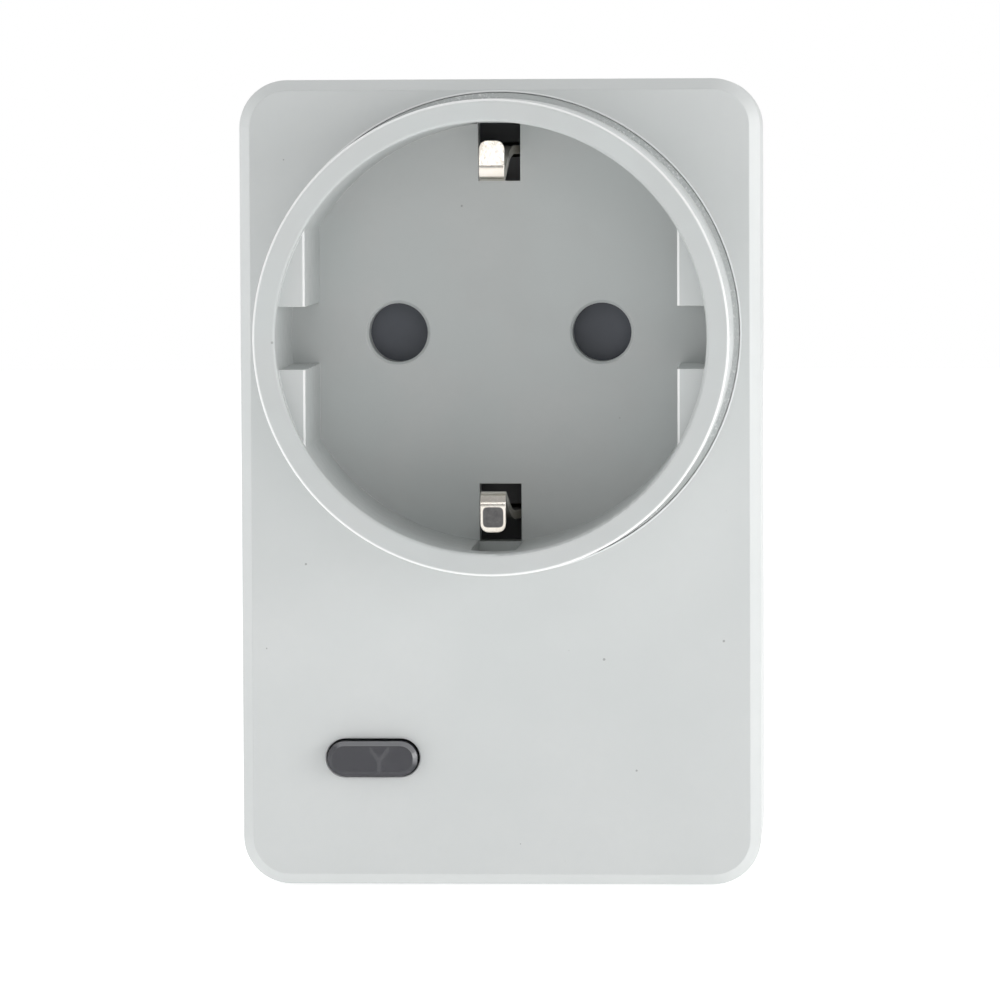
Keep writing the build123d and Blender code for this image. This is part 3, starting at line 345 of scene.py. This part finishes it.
def laminate(name, across, turned):
    """Solder mask over tracks; `across` is the axis through the board, `turned` lays the tracks flat."""
    mask_dark, mask_light = (0.012, 0.095, 0.040), (0.016, 0.120, 0.050)
    over_copper = (0.045, 0.235, 0.085)
    straw_dark, straw_light = (0.40, 0.33, 0.17), (0.55, 0.48, 0.28)
    finish, tree, surface, place = new_finish(name)
    mapping = tree.nodes.new("ShaderNodeMapping")
    mapping.inputs["Rotation"].default_value = turned
    tree.links.new(place, mapping.inputs["Vector"])
    tracks = tree.nodes.new("ShaderNodeTexBrick")
    tracks.inputs["Scale"].default_value = 0.28
    tracks.inputs["Mortar Size"].default_value = 0.045
    tracks.inputs["Mortar Smooth"].default_value = 0.15
    tracks.inputs["Color1"].default_value = (0.0, 0.0, 0.0, 1.0)
    tracks.inputs["Color2"].default_value = (0.0, 0.0, 0.0, 1.0)
    tracks.inputs["Mortar"].default_value = (1.0, 1.0, 1.0, 1.0)
    tree.links.new(mapping.outputs[0], tracks.inputs["Vector"])
    pour = remap(tree, noise(tree, place, 0.12, 0.0), 0.50, 0.515)
    copper = combine(tree, "MAXIMUM", tracks.outputs["Fac"], pour)
    weave = noise(tree, place, 2.4, 2.0)
    mask = blend_colour(tree, remap(tree, weave, 0.3, 0.7), mask_dark, mask_light)
    green = blend_colour(tree, copper, mask, over_copper)
    shape = tree.nodes.new("ShaderNodeNewGeometry")
    turn = tree.nodes.new("ShaderNodeSeparateXYZ")
    tree.links.new(shape.outputs["Normal"], turn.inputs[0])
    face_on = combine(tree, "ABSOLUTE", turn.outputs[across])
    cut = combine(tree, "LESS_THAN", face_on, 0.7)
    strands = remap(tree, noise(tree, place, 5.0, 3.0), 0.3, 0.7)
    fibres = blend_colour(tree, strands, straw_dark, straw_light)
    join(tree, blend_colour(tree, cut, green, fibres), surface.inputs["Base Color"])
    shine = remap(tree, combine(tree, "ADD", weave, cut), 0.3, 1.5, 0.22, 0.7)
    join(tree, shine, surface.inputs["Roughness"])
    heights = combine(tree, "ADD", copper, combine(tree, "MULTIPLY", weave, 0.25))
    relief(tree, surface, heights, 0.035)
    return finish


put_on(laminate("board_laminate", "Y", (pi / 2, 0.0, 0.0)), "circuit_board")


# ---- Solder joints ----
# Concave cones of bright solder where the four lugs come through the board. Each is spun from one
# profile; the lugs are wider than the cones' tops, so their ends stand out of the solder.

solder_foot = 1.05
solder_top = 0.48
solder_rise = 0.7
solder_steps = 6
board_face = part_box("circuit_board")[0].y / MM
half_strip = 0.3
half_tail = 1.3
lug_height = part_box("live_inlet_link")[0].z / MM + half_strip
clip_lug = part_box("live_contact")[1].x / MM - half_tail
link_lug = (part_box("live_inlet_link")[0].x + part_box("live_inlet_link")[1].x) / 2 / MM
solder = bmesh.new()
for lug_x in (-clip_lug, -link_lug, link_lug, clip_lug):
    centre = Vector((lug_x, board_face, lug_height)) * MM
    rim_points = [(0.0, 0.0)]
    for step in range(solder_steps + 1):
        lean = pi / 2 * step / solder_steps
        radius = solder_foot - (solder_foot - solder_top) * sin(lean)
        rim_points.append((radius, solder_rise * (1 - cos(lean))))
    rim_points.append((0.0, solder_rise))
    ring = [solder.verts.new(centre + Vector((r, -h, 0.0)) * MM) for r, h in rim_points]
    profile = ring + [solder.edges.new(pair) for pair in zip(ring, ring[1:])]
    bmesh.ops.spin(solder, geom=profile, cent=centre, axis=(0, 1, 0), angle=2 * pi, steps=24,
                   use_merge=True)
bmesh.ops.remove_doubles(solder, verts=solder.verts, dist=0.001 * MM)
bmesh.ops.recalc_face_normals(solder, faces=solder.faces)


def new_piece(name, shape, finish, body="housing", smooth=True):
    """Turns a finished bmesh into a named piece with a finish, riding on a body."""
    mesh = bpy.data.meshes.new(name)
    shape.to_mesh(mesh)
    shape.free()
    mesh.materials.append(finish)
    for face in mesh.polygons:
        face.use_smooth = smooth
    piece = bpy.data.objects.new(name, mesh)
    bpy.context.scene.collection.objects.link(piece)
    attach(piece, body)
    return piece


tin_finish = plated("tinned_can", (0.80, 0.80, 0.80), (0.62, 0.62, 0.60), 0.24, depth=0.006)
new_piece("solder_joints", solder, tin_finish)


# ---- Relay and mains filter capacitor ----
# The relay's case is a sealed black moulding. The film capacitor stands in a yellow potted case with
# a slight orange-peel gloss.

relay_finish = moulded("relay_case", (0.018, 0.018, 0.020), (0.026, 0.026, 0.028), 6.0, 0.008, 0.38,
                       0.12, (0.07, 0.07, 0.07))
put_on(relay_finish, "relay")
film_finish = moulded("film_case", (0.80, 0.50, 0.035), (0.68, 0.40, 0.02), 1.8, 0.012, 0.22,
                      0.15, (0.88, 0.64, 0.14))
put_on(film_finish, "filter_capacitor")


# ---- Reservoir and output capacitors ----
# Aluminium cans in a printed shrink sleeve. The sleeve is dark with a pale stripe down one side, and
# stops short of the can's bare, brushed top.

def sleeved_can(name, node):
    """A dark sleeve with a pale stripe; the bare top is brushed metal."""
    low, high = (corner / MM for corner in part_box(node))
    bare_top = 0.12
    stripe_share = 0.28
    sleeve_dark, sleeve_light = (0.022, 0.025, 0.060), (0.032, 0.036, 0.080)
    stripe_grey = (0.42, 0.45, 0.52)
    finish, tree, surface, place = new_finish(name)
    normal = eased(tree, 0.12)[0]
    top = mask_between(tree, place, "Y", low.y - 1.0, low.y + bare_top)
    centre_x = (low.x + high.x) / 2
    stripe_half = (high.x - low.x) / 2 * stripe_share
    stripe = mask_between(tree, place, "X", centre_x - stripe_half, centre_x + stripe_half)
    front_half = mask_between(tree, place, "Z", (low.z + high.z) / 2, high.z + 1.0)
    pale = combine(tree, "MULTIPLY", stripe, front_half)
    film = noise(tree, place, 3.0, 3.0)
    sleeve = blend_colour(tree, remap(tree, film, 0.3, 0.7), sleeve_dark, sleeve_light)
    sleeve = blend_colour(tree, pale, sleeve, stripe_grey)
    brushed = noise(tree, place, 2.0, 4.0, 0.7, stretch=(0.1, 1.0, 4.0))
    metal = blend_colour(tree, brushed, (0.70, 0.70, 0.70), (0.84, 0.84, 0.84))
    join(tree, blend_colour(tree, top, sleeve, metal), surface.inputs["Base Color"])
    join(tree, top, surface.inputs["Metallic"])
    shine = remap(tree, combine(tree, "ADD", film, top), 0.3, 1.7, 0.20, 0.42)
    join(tree, shine, surface.inputs["Roughness"])
    heights = combine(tree, "ADD", film, combine(tree, "MULTIPLY", brushed, top))
    relief(tree, surface, heights, 0.006, normal)
    put_on(finish, node)


sleeved_can("can_sleeve", "reservoir_capacitor")
sleeved_can("can_sleeve_small", "output_capacitor")


# ---- Supply choke ----
# A drum of grey ferrite wound with enamelled copper wire between its two flanges. It smooths the
# meter's own small supply, and stands on the board.

choke_low, choke_high = (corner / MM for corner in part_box("supply_choke"))
flange_depth = 1.2
wire_pitch = 0.22
wire_dark, wire_light = (0.20, 0.045, 0.018), (0.62, 0.22, 0.09)
ferrite_dark, ferrite_light = (0.030, 0.030, 0.032), (0.075, 0.075, 0.078)
choke, choke_tree, choke_surface, choke_place = new_finish("choke_winding")
wound = mask_between(choke_tree, choke_place, "Y", choke_low.y + flange_depth,
                     choke_high.y - flange_depth)
choke_split = choke_tree.nodes.new("ShaderNodeSeparateXYZ")
choke_tree.links.new(choke_place, choke_split.inputs[0])
turn_angle = combine(choke_tree, "MULTIPLY", choke_split.outputs["Y"], 2 * pi / wire_pitch)
turns = combine(choke_tree, "SINE", turn_angle)
wire_colour = blend_colour(choke_tree, remap(choke_tree, turns, -1.0, 1.0), wire_dark, wire_light)
grit = noise(choke_tree, choke_place, 6.0, 3.0)
ferrite = blend_colour(choke_tree, grit, ferrite_dark, ferrite_light)
choke_colour = blend_colour(choke_tree, wound, ferrite, wire_colour)
join(choke_tree, choke_colour, choke_surface.inputs["Base Color"])
join(choke_tree, remap(choke_tree, wound, 0.0, 1.0, 0.75, 0.28), choke_surface.inputs["Roughness"])
wire_relief = combine(choke_tree, "MULTIPLY", combine(choke_tree, "MULTIPLY", turns, wound), 2.0)
relief(choke_tree, choke_surface, combine(choke_tree, "ADD", wire_relief, grit), 0.03)
put_on(choke, "supply_choke")


# ---- Varistor ----
# A zinc oxide disc dipped in blue epoxy, which sets with a slightly uneven gloss. It stands on edge on
# the board and takes up surges on the mains.

varistor_finish = moulded("varistor_coat", (0.020, 0.085, 0.42), (0.012, 0.055, 0.30), 1.2, 0.030, 0.20,
                          0.25, (0.06, 0.16, 0.55))
put_on(varistor_finish, "varistor")


# ---- Fuse ----
# A ceramic sleeve between two tinned caps, on tinned wire legs. It lies flat on the board near its
# lower edge.

fuse_low, fuse_high = (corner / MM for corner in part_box("fuse"))
fuse_middle = (fuse_low.x + fuse_high.x) / 2
sleeve_half = 3.0
fuse, fuse_tree, fuse_surface, fuse_place = new_finish("fuse_body")
ceramic = mask_between(fuse_tree, fuse_place, "X", fuse_middle - sleeve_half,
                       fuse_middle + sleeve_half)
glaze = noise(fuse_tree, fuse_place, 3.0, 3.0)
sleeve_colour = blend_colour(fuse_tree, glaze, (0.74, 0.66, 0.52), (0.86, 0.80, 0.68))
cap_colour = blend_colour(fuse_tree, glaze, (0.66, 0.66, 0.66), (0.84, 0.84, 0.83))
fuse_colour = blend_colour(fuse_tree, ceramic, cap_colour, sleeve_colour)
join(fuse_tree, fuse_colour, fuse_surface.inputs["Base Color"])
join(fuse_tree, combine(fuse_tree, "SUBTRACT", 1.0, ceramic), fuse_surface.inputs["Metallic"])
join(fuse_tree, remap(fuse_tree, glaze, 0.3, 0.7, 0.22, 0.38), fuse_surface.inputs["Roughness"])
relief(fuse_tree, fuse_surface, glaze, 0.008)
put_on(fuse, "fuse")


# ---- Shunt ----
# A bridge of copper-nickel alloy, sheared from strip and left bare, with straight rolling marks. The
# appliance's current runs through it, and the metering chip reads the small voltage across it.

shunt_alloy = (0.62, 0.50, 0.42)
shunt_stain = (0.46, 0.36, 0.30)
shunt_finish = plated("shunt_alloy", shunt_alloy, shunt_stain, 0.34, depth=0.004, rubs=(0.2, 1.0, 3.0))
put_on(shunt_finish, "shunt")


# ---- Metering chip and rectifier ----
# Black moulded epoxy packages with a fine frosted skin, on two rows of tinned leads. Both lie on the
# board's front.

def package_finish(name, node, lead_rise):
    """Frosted black epoxy above, tinned leads below lead_rise from the board."""
    low, high = (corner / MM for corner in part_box(node))
    lead_reach = 1.0
    package_room = 9.0
    finish, tree, surface, place = new_finish(name)
    normal = eased(tree, 0.06)[0]
    epoxy = mask_between(tree, place, "Z", low.z + lead_reach, high.z - lead_reach)
    above = mask_between(tree, place, "Y", high.y - package_room, high.y - lead_rise)
    body_part = combine(tree, "MAXIMUM", epoxy, above)
    frost = noise(tree, place, 14.0, 3.0, 0.6)
    black = blend_colour(tree, frost, (0.012, 0.012, 0.013), (0.030, 0.030, 0.031))
    tin = blend_colour(tree, frost, (0.70, 0.70, 0.70), (0.84, 0.84, 0.83))
    join(tree, blend_colour(tree, body_part, tin, black), surface.inputs["Base Color"])
    join(tree, combine(tree, "SUBTRACT", 1.0, body_part), surface.inputs["Metallic"])
    join(tree, remap(tree, body_part, 0.0, 1.0, 0.28, 0.62), surface.inputs["Roughness"])
    relief(tree, surface, frost, 0.006, normal)
    put_on(finish, node)


lead_rise = 0.26
package_finish("chip_epoxy", "metering_chip", lead_rise)
package_finish("rectifier_epoxy", "rectifier", lead_rise)


# ---- Radio board and its shield ----
# A thin board stood on edge in the housing, of the same laminate as the main board. A tinned steel can
# is folded over its controller.

put_on(laminate("radio_laminate", "X", (0.0, pi / 2, 0.0)), "radio_board")
put_on(tin_finish, "radio_shield")


# ---- Tact switch, plunger and status light ----
# The switch body is black plastic under a stamped steel plate; its brown plunger is pressed by the
# button's stem. The status light is a small chip with a cast amber-white lens.

switch_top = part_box("tact_switch")[0].y / MM
switch, switch_tree, switch_surface, switch_place = new_finish("switch_body")
plate_depth = 0.35
plate = mask_between(switch_tree, switch_place, "Y", switch_top - 1.0, switch_top + plate_depth)
switch_normal = eased(switch_tree, 0.12)[0]
brushing = noise(switch_tree, switch_place, 2.5, 4.0, 0.7, stretch=(0.1, 1.0, 3.0))
steel = blend_colour(switch_tree, brushing, (0.58, 0.58, 0.58), (0.74, 0.74, 0.73))
black_plastic = blend_colour(switch_tree, brushing, (0.016, 0.016, 0.017), (0.028, 0.028, 0.028))
switch_colour = blend_colour(switch_tree, plate, black_plastic, steel)
join(switch_tree, switch_colour, switch_surface.inputs["Base Color"])
join(switch_tree, plate, switch_surface.inputs["Metallic"])
join(switch_tree, remap(switch_tree, brushing, 0.3, 0.7, 0.28, 0.46), switch_surface.inputs["Roughness"])
relief(switch_tree, switch_surface, brushing, 0.004, switch_normal)
put_on(switch, "tact_switch")
plunger_finish = moulded("switch_plunger", (0.115, 0.070, 0.040), (0.090, 0.055, 0.032), 6.0, 0.006, 0.45,
                         0.10, (0.20, 0.14, 0.09))
put_on(plunger_finish, "tact_plunger")

lens_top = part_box("status_light")[0].y / MM
lens_light, lens_tree, lens_surface, lens_place = new_finish("light_lens")
lens_depth = 0.5
cast_part = mask_between(lens_tree, lens_place, "Y", lens_top - 1.0, lens_top + lens_depth)
haze = noise(lens_tree, lens_place, 5.0, 2.0)
lens_colour = blend_colour(lens_tree, haze, (0.86, 0.80, 0.52), (0.90, 0.87, 0.68))
base_colour = blend_colour(lens_tree, haze, (0.80, 0.80, 0.78), (0.88, 0.88, 0.86))
light_colour = blend_colour(lens_tree, cast_part, base_colour, lens_colour)
join(lens_tree, light_colour, lens_surface.inputs["Base Color"])
join(lens_tree, remap(lens_tree, haze, 0.3, 0.7, 0.12, 0.24), lens_surface.inputs["Roughness"])
relief(lens_tree, lens_surface, haze, 0.004)
put_on(lens_light, "status_light")


# ---- Front cover ----
# The drafted outer shell, in the same pale satin plastic as the rear cover. Four screws from behind
# pull it down on to the rear cover's lip. Pale lines round its two openings are painted highlights on their
# edges.

button_low, button_high = (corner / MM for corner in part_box("power_button"))
button_x = (button_low.x + button_high.x) / 2
button_z = (button_low.z + button_high.z) / 2
opening_half = 4.375
opening_radius = 1.78
opening_highlight_width = 0.16
face_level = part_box("front_cover")[0].y / MM
collar_opening = 22.35
edge_highlight_white = (0.90, 0.91, 0.91)
front_finish = housing_finish.copy()
front_finish.name = "front_plastic"
front_tree, front_surface, front_place, front_colour = opened(front_finish)


def flat_distance(tree, place, centre_x, centre_z, straight_half=0.0):
    """Distance in the plane of the face from a point, or from a level line of a half length."""
    split = tree.nodes.new("ShaderNodeSeparateXYZ")
    tree.links.new(place, split.inputs[0])
    along = combine(tree, "ABSOLUTE", combine(tree, "SUBTRACT", split.outputs["X"], centre_x))
    beyond = combine(tree, "MAXIMUM", combine(tree, "SUBTRACT", along, straight_half), 0.0)
    upward = combine(tree, "SUBTRACT", split.outputs["Z"], centre_z)
    level_part = combine(tree, "MULTIPLY", beyond, beyond)
    upright_part = combine(tree, "MULTIPLY", upward, upward)
    return combine(tree, "SQRT", combine(tree, "ADD", level_part, upright_part))


# Painted highlights: pale lines on the face round the button's and the collar's openings
on_face = mask_between(front_tree, front_place, "Y", face_level - 1.0, face_level + 0.25)
from_button = flat_distance(front_tree, front_place, button_x, button_z,
                            opening_half - opening_radius)
from_socket_axis = flat_distance(front_tree, front_place, 0.0, 0.0)
button_highlight = combine(front_tree, "LESS_THAN", from_button, opening_radius + opening_highlight_width)
collar_highlight = combine(front_tree, "LESS_THAN", from_socket_axis, collar_opening + opening_highlight_width)
either_highlight = combine(front_tree, "MAXIMUM", button_highlight, collar_highlight)
painted_edge_highlights = combine(front_tree, "MULTIPLY", either_highlight, on_face)
front_colour = blend_colour(front_tree, painted_edge_highlights, front_colour, edge_highlight_white)
join(front_tree, front_colour, front_surface.inputs["Base Color"])
put_on(front_finish, "front_cover")


# ---- Socket insert ----
# Collar, recess, guide ribs and floor in one moulding, heat-staked behind the front cover. The mould
# is polished finer than the housing's; rim and ribs have painted highlights along their edges, and the
# collar's side has pale flecks, partly scuffs and partly painted highlights.

rim_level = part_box("socket_insert")[0].y / MM
rim_radius = 21.55
rim_highlight_width = 0.19
rim_highlight_blur = 0.06
rib_face = 16.85
rib_below_rim = 1.2
socket_white = (0.635, 0.65, 0.645)
socket_shade = (0.595, 0.615, 0.61)
socket_tint = (0.615, 0.64, 0.635)
socket_wear_and_highlight = (0.97, 0.975, 0.97)
scuff_and_glint_amount = 0.85
socket_finish = moulded("socket_plastic", socket_white, socket_shade, 12.0, 0.003, 0.36, 0.15,
                        socket_wear_and_highlight, specks=0.45, wear=0.25)
socket_tree, socket_surface, socket_place, socket_colour = opened(socket_finish)
across = socket_tree.nodes.new("ShaderNodeVectorMath")
across.operation = "MULTIPLY"
across.inputs[1].default_value = (1.0, 0.0, 1.0)
socket_tree.links.new(socket_place, across.inputs[0])
reach = socket_tree.nodes.new("ShaderNodeVectorMath")
reach.operation = "LENGTH"
socket_tree.links.new(across.outputs[0], reach.inputs[0])
from_axis = reach.outputs["Value"]

# Painted highlight: a pale line round the rim's outer edge
near_rim = mask_between(socket_tree, socket_place, "Y", rim_level - 1.0, rim_level + 0.25)
rim_highlight_radius = rim_radius - rim_highlight_width
past_line = remap(socket_tree, from_axis, rim_highlight_radius - rim_highlight_blur, rim_highlight_radius + rim_highlight_blur)
rim_highlight = combine(socket_tree, "MULTIPLY", near_rim, past_line)
side_wall = combine(socket_tree, "GREATER_THAN", from_axis, rim_radius - 0.1)
# Pale flecks on the collar's side, partly scuffs and partly painted highlights
flecks = remap(socket_tree, noise(socket_tree, socket_place, 4.5, 4.0, 0.8), 0.53, 0.62)
where = remap(socket_tree, noise(socket_tree, socket_place, 0.10, 1.0), 0.40, 0.60)
scuffs_and_glints = combine(socket_tree, "MULTIPLY", combine(socket_tree, "MULTIPLY", flecks, where), side_wall)
tint = remap(socket_tree, noise(socket_tree, socket_place, 0.14, 2.0), 0.42, 0.62)
socket_colour = blend_colour(socket_tree, tint, socket_colour, socket_tint)

# Painted highlight: a pale line along the top edges of the guide ribs
rib_split = socket_tree.nodes.new("ShaderNodeSeparateXYZ")
socket_tree.links.new(socket_place, rib_split.inputs[0])
sideways_reach = combine(socket_tree, "ABSOLUTE", rib_split.outputs["X"])
inward = combine(socket_tree, "LESS_THAN", sideways_reach, rib_face + 0.2)
outward = combine(socket_tree, "GREATER_THAN", sideways_reach, rib_face - 0.05)
rib_level = rim_level + rib_below_rim
rib_top = mask_between(socket_tree, socket_place, "Y", rib_level - 0.1, rib_level + 0.2)
rib_highlight = combine(socket_tree, "MULTIPLY", combine(socket_tree, "MULTIPLY", inward, rib_top), outward)
painted_highlights = combine(socket_tree, "MAXIMUM", rim_highlight, rib_highlight)
scuff_and_glint_paint = combine(socket_tree, "MULTIPLY", scuffs_and_glints, scuff_and_glint_amount)
highlights_and_flecks = combine(socket_tree, "MAXIMUM", painted_highlights, scuff_and_glint_paint)
socket_colour = blend_colour(socket_tree, highlights_and_flecks, socket_colour, socket_wear_and_highlight)
join(socket_tree, socket_colour, socket_surface.inputs["Base Color"])
put_on(socket_finish, "socket_insert")


# ---- Safety shutter and its spring ----
# A dark satin blade behind the pin holes, turned shut by a small coil of drawn steel wire. It turns
# between the socket's floor and the contact carrier.

shutter_finish = moulded("shutter_plastic", (0.112, 0.121, 0.143), (0.096, 0.104, 0.124), 8.0, 0.004, 0.34,
                         0.10, (0.16, 0.17, 0.18))
put_on(shutter_finish, "safety_shutter")
spring_finish = plated("spring_wire", (0.66, 0.66, 0.64), (0.50, 0.49, 0.46), 0.28, depth=0.002,
                       rubs=(1.0, 3.0, 1.0))
put_on(spring_finish, "shutter_spring")


# ---- Button key and light guide ----
# The key is a smoked clear cup, polished outside, that pokes through the front. Pressed inside it is
# a milky stem of Y section, which pushes the switch and spreads the status light's glow.

smoke_dark, smoke_light = (0.080, 0.080, 0.096), (0.105, 0.105, 0.122)
bevel_highlight_grey = (0.44, 0.44, 0.46)
stem_grey = (0.45, 0.45, 0.47)
edge_grey = (0.42, 0.42, 0.43)
guide_x = -11.35
arm_meet = button_z - 0.2
arm_slope = 1.29
arm_reach = 0.95
stem_amount = 0.20
key, key_tree, key_surface, key_place = new_finish("smoked_plastic")
key_normal, key_edge = eased(key_tree, 0.08)
swirl = noise(key_tree, key_place, 0.8, 2.0, 0.5, twist=0.6)
smoke = blend_colour(key_tree, remap(key_tree, swirl, 0.3, 0.7), smoke_dark, smoke_light)

# Painted highlight: the bevel is paler where it leans up and to the right, towards the light
key_shape = key_tree.nodes.new("ShaderNodeNewGeometry")
key_turn = key_tree.nodes.new("ShaderNodeSeparateXYZ")
key_tree.links.new(key_shape.outputs["Normal"], key_turn.inputs[0])
rightward = combine(key_tree, "MULTIPLY", key_turn.outputs["X"], 0.8)
lean = combine(key_tree, "ADD", key_turn.outputs["Z"], rightward)
leaning_face = remap(key_tree, lean, 0.15, 0.5)
outer_face = combine(key_tree, "LESS_THAN", key_turn.outputs["Y"], -0.3)
bevel_highlight = combine(key_tree, "MULTIPLY", leaning_face, outer_face)
paler = blend_colour(key_tree, bevel_highlight, smoke, bevel_highlight_grey)

# The stem's end shows as a faint Y on the flat front
key_split = key_tree.nodes.new("ShaderNodeSeparateXYZ")
key_tree.links.new(key_place, key_split.inputs[0])
aside = combine(key_tree, "ABSOLUTE", combine(key_tree, "SUBTRACT", key_split.outputs["X"], guide_x))
upward = combine(key_tree, "SUBTRACT", key_split.outputs["Z"], arm_meet)
arm_height = combine(key_tree, "MULTIPLY", aside, arm_slope)
off_arm = combine(key_tree, "ABSOLUTE", combine(key_tree, "SUBTRACT", upward, arm_height))
within_reach = combine(key_tree, "LESS_THAN", aside, arm_reach)
arms = combine(key_tree, "MULTIPLY", remap(key_tree, off_arm, 0.38, 0.22), within_reach)
below_arms = combine(key_tree, "LESS_THAN", upward, 0.0)
stem = combine(key_tree, "MULTIPLY", remap(key_tree, aside, 0.24, 0.14), below_arms)
stem_shape = combine(key_tree, "MULTIPLY", combine(key_tree, "MAXIMUM", arms, stem), stem_amount)
front_on = combine(key_tree, "LESS_THAN", key_turn.outputs["Y"], -0.95)
seen_stem = combine(key_tree, "MULTIPLY", stem_shape, front_on)
paler = blend_colour(key_tree, seen_stem, paler, stem_grey)
key_colour = blend_colour(key_tree, combine(key_tree, "MULTIPLY", key_edge, 0.5), paler, edge_grey)
join(key_tree, key_colour, key_surface.inputs["Base Color"])
handling = noise(key_tree, key_place, 1.2, 2.0, 0.5)
join(key_tree, remap(key_tree, handling, 0.35, 0.75, 0.10, 0.20), key_surface.inputs["Roughness"])
key_surface.inputs["Transmission Weight"].default_value = 0.55
key_surface.inputs["IOR"].default_value = 1.5
relief(key_tree, key_surface, handling, 0.002, key_normal)
put_on(key, "power_button")

guide, guide_tree, guide_surface, guide_place = new_finish("milky_plastic")
cloud = noise(guide_tree, guide_place, 1.5, 3.0)
milk = blend_colour(guide_tree, cloud, (0.78, 0.79, 0.80), (0.88, 0.88, 0.88))
join(guide_tree, milk, guide_surface.inputs["Base Color"])
join(guide_tree, remap(guide_tree, cloud, 0.3, 0.7, 0.35, 0.5), guide_surface.inputs["Roughness"])
relief(guide_tree, guide_surface, cloud, 0.004)
put_on(guide, "light_guide")


# ---- Stage, light and camera ----
# A plain pale floor with a slight glow of its own, a tent of soft light strongest at the sides, a broad
# light low on the right, one overhead behind and two small fills. A long lens stands a little right of
# and above the socket's axis.

floor_half = 1.3
floor_glow = 0.43
floor_shape = bmesh.new()
bmesh.ops.create_grid(floor_shape, x_segments=1, y_segments=1, size=floor_half)
floor_mesh = bpy.data.meshes.new("floor")
floor_shape.to_mesh(floor_mesh)
floor_shape.free()
floor_mesh.transform(Matrix.Translation((0.0, 0.0, cad_box[0][2])))
floor = bpy.data.objects.new("floor", floor_mesh)
bpy.context.scene.collection.objects.link(floor)
floor_finish, floor_tree, floor_surface, floor_place = new_finish("pale_floor")
paper = noise(floor_tree, floor_place, 0.6, 3.0)
floor_colour = blend_colour(floor_tree, paper, (0.90, 0.90, 0.90), (0.93, 0.93, 0.93))
join(floor_tree, floor_colour, floor_surface.inputs["Base Color"])
floor_surface.inputs["Roughness"].default_value = 0.8
floor_surface.inputs["Emission Color"].default_value = (1.0, 1.0, 1.0, 1.0)
floor_surface.inputs["Emission Strength"].default_value = floor_glow
floor_mesh.materials.append(floor_finish)


def softbox(name, position, target, width, height, strength):
    """A rectangular area light aimed at a point."""
    lamp = bpy.data.lights.new(name, "AREA")
    lamp.shape = "RECTANGLE"
    lamp.size = width
    lamp.size_y = height
    lamp.energy = strength
    box = bpy.data.objects.new(name, lamp)
    bpy.context.scene.collection.objects.link(box)
    aim = Vector(target) - Vector(position)
    box.rotation_euler = aim.to_track_quat("-Z", "Y").to_euler()
    box.location = position


socket_middle = (0.0, -0.045, 0.0)
softbox("right_light", (0.55, -0.20, -0.10), socket_middle, 0.50, 0.60, 3.4)
softbox("left_light", (-0.55, -0.32, 0.05), socket_middle, 0.50, 0.50, 0.35)
softbox("overhead_light", (0.0, 0.95, 1.30), (0.0, 0.10, -0.05), 1.60, 1.20, 9.5)
softbox("clip_light", (0.03, -0.62, 0.20), socket_middle, 0.16, 0.08, 0.10)

tent_level = 0.385
side_gain = 0.52
left_bias = 0.206
world = bpy.data.worlds.new("studio")
bpy.context.scene.world = world
world.use_nodes = True
tent = world.node_tree
sky = tent.nodes["Background"]
sky.inputs["Color"].default_value = (0.985, 0.995, 1.0, 1.0)
direction = tent.nodes.new("ShaderNodeTexCoord")
facing = tent.nodes.new("ShaderNodeSeparateXYZ")
tent.links.new(direction.outputs["Generated"], facing.inputs[0])
ring = remap(tent, combine(tent, "ABSOLUTE", facing.outputs["Y"]), 0.25, 0.95, 1.0, 0.0)
sideways = combine(tent, "MULTIPLY", combine(tent, "ABSOLUTE", facing.outputs["X"]), side_gain)
lopsided = combine(tent, "MULTIPLY", facing.outputs["X"], left_bias)
leaning = combine(tent, "SUBTRACT", sideways, lopsided)
side_light = combine(tent, "MULTIPLY", ring, leaning)
join(tent, combine(tent, "ADD", side_light, tent_level), sky.inputs["Strength"])
seen = tent.nodes.new("ShaderNodeBackground")
seen.inputs["Strength"].default_value = 1.0
seen.inputs["Color"].default_value = (1.0, 1.0, 1.0, 1.0)
ray = tent.nodes.new("ShaderNodeLightPath")
either = tent.nodes.new("ShaderNodeMixShader")
tent.links.new(ray.outputs["Is Camera Ray"], either.inputs[0])
tent.links.new(sky.outputs[0], either.inputs[1])
tent.links.new(seen.outputs[0], either.inputs[2])
tent.links.new(either.outputs[0], tent.nodes["World Output"].inputs["Surface"])
bpy.context.scene.view_settings.view_transform = "Standard"

lens = bpy.data.cameras.new("camera")
lens.sensor_width = 36.0
lens.lens = 211.4
lens.clip_end = 20.0
camera = bpy.data.objects.new("camera", lens)
bpy.context.scene.collection.objects.link(camera)
eye = Vector((0.02777, -0.58637, 0.01613))
pitch, yaw, roll = -0.058, 0.0509, -0.0042
forward = Vector((-sin(yaw) * cos(pitch), cos(yaw) * cos(pitch), sin(pitch)))
upright = forward.to_track_quat("-Z", "Y")
camera.rotation_euler = (upright.to_matrix() @ Matrix.Rotation(roll, 3, "Z")).to_euler()
camera.location = eye
bpy.context.scene.camera = camera
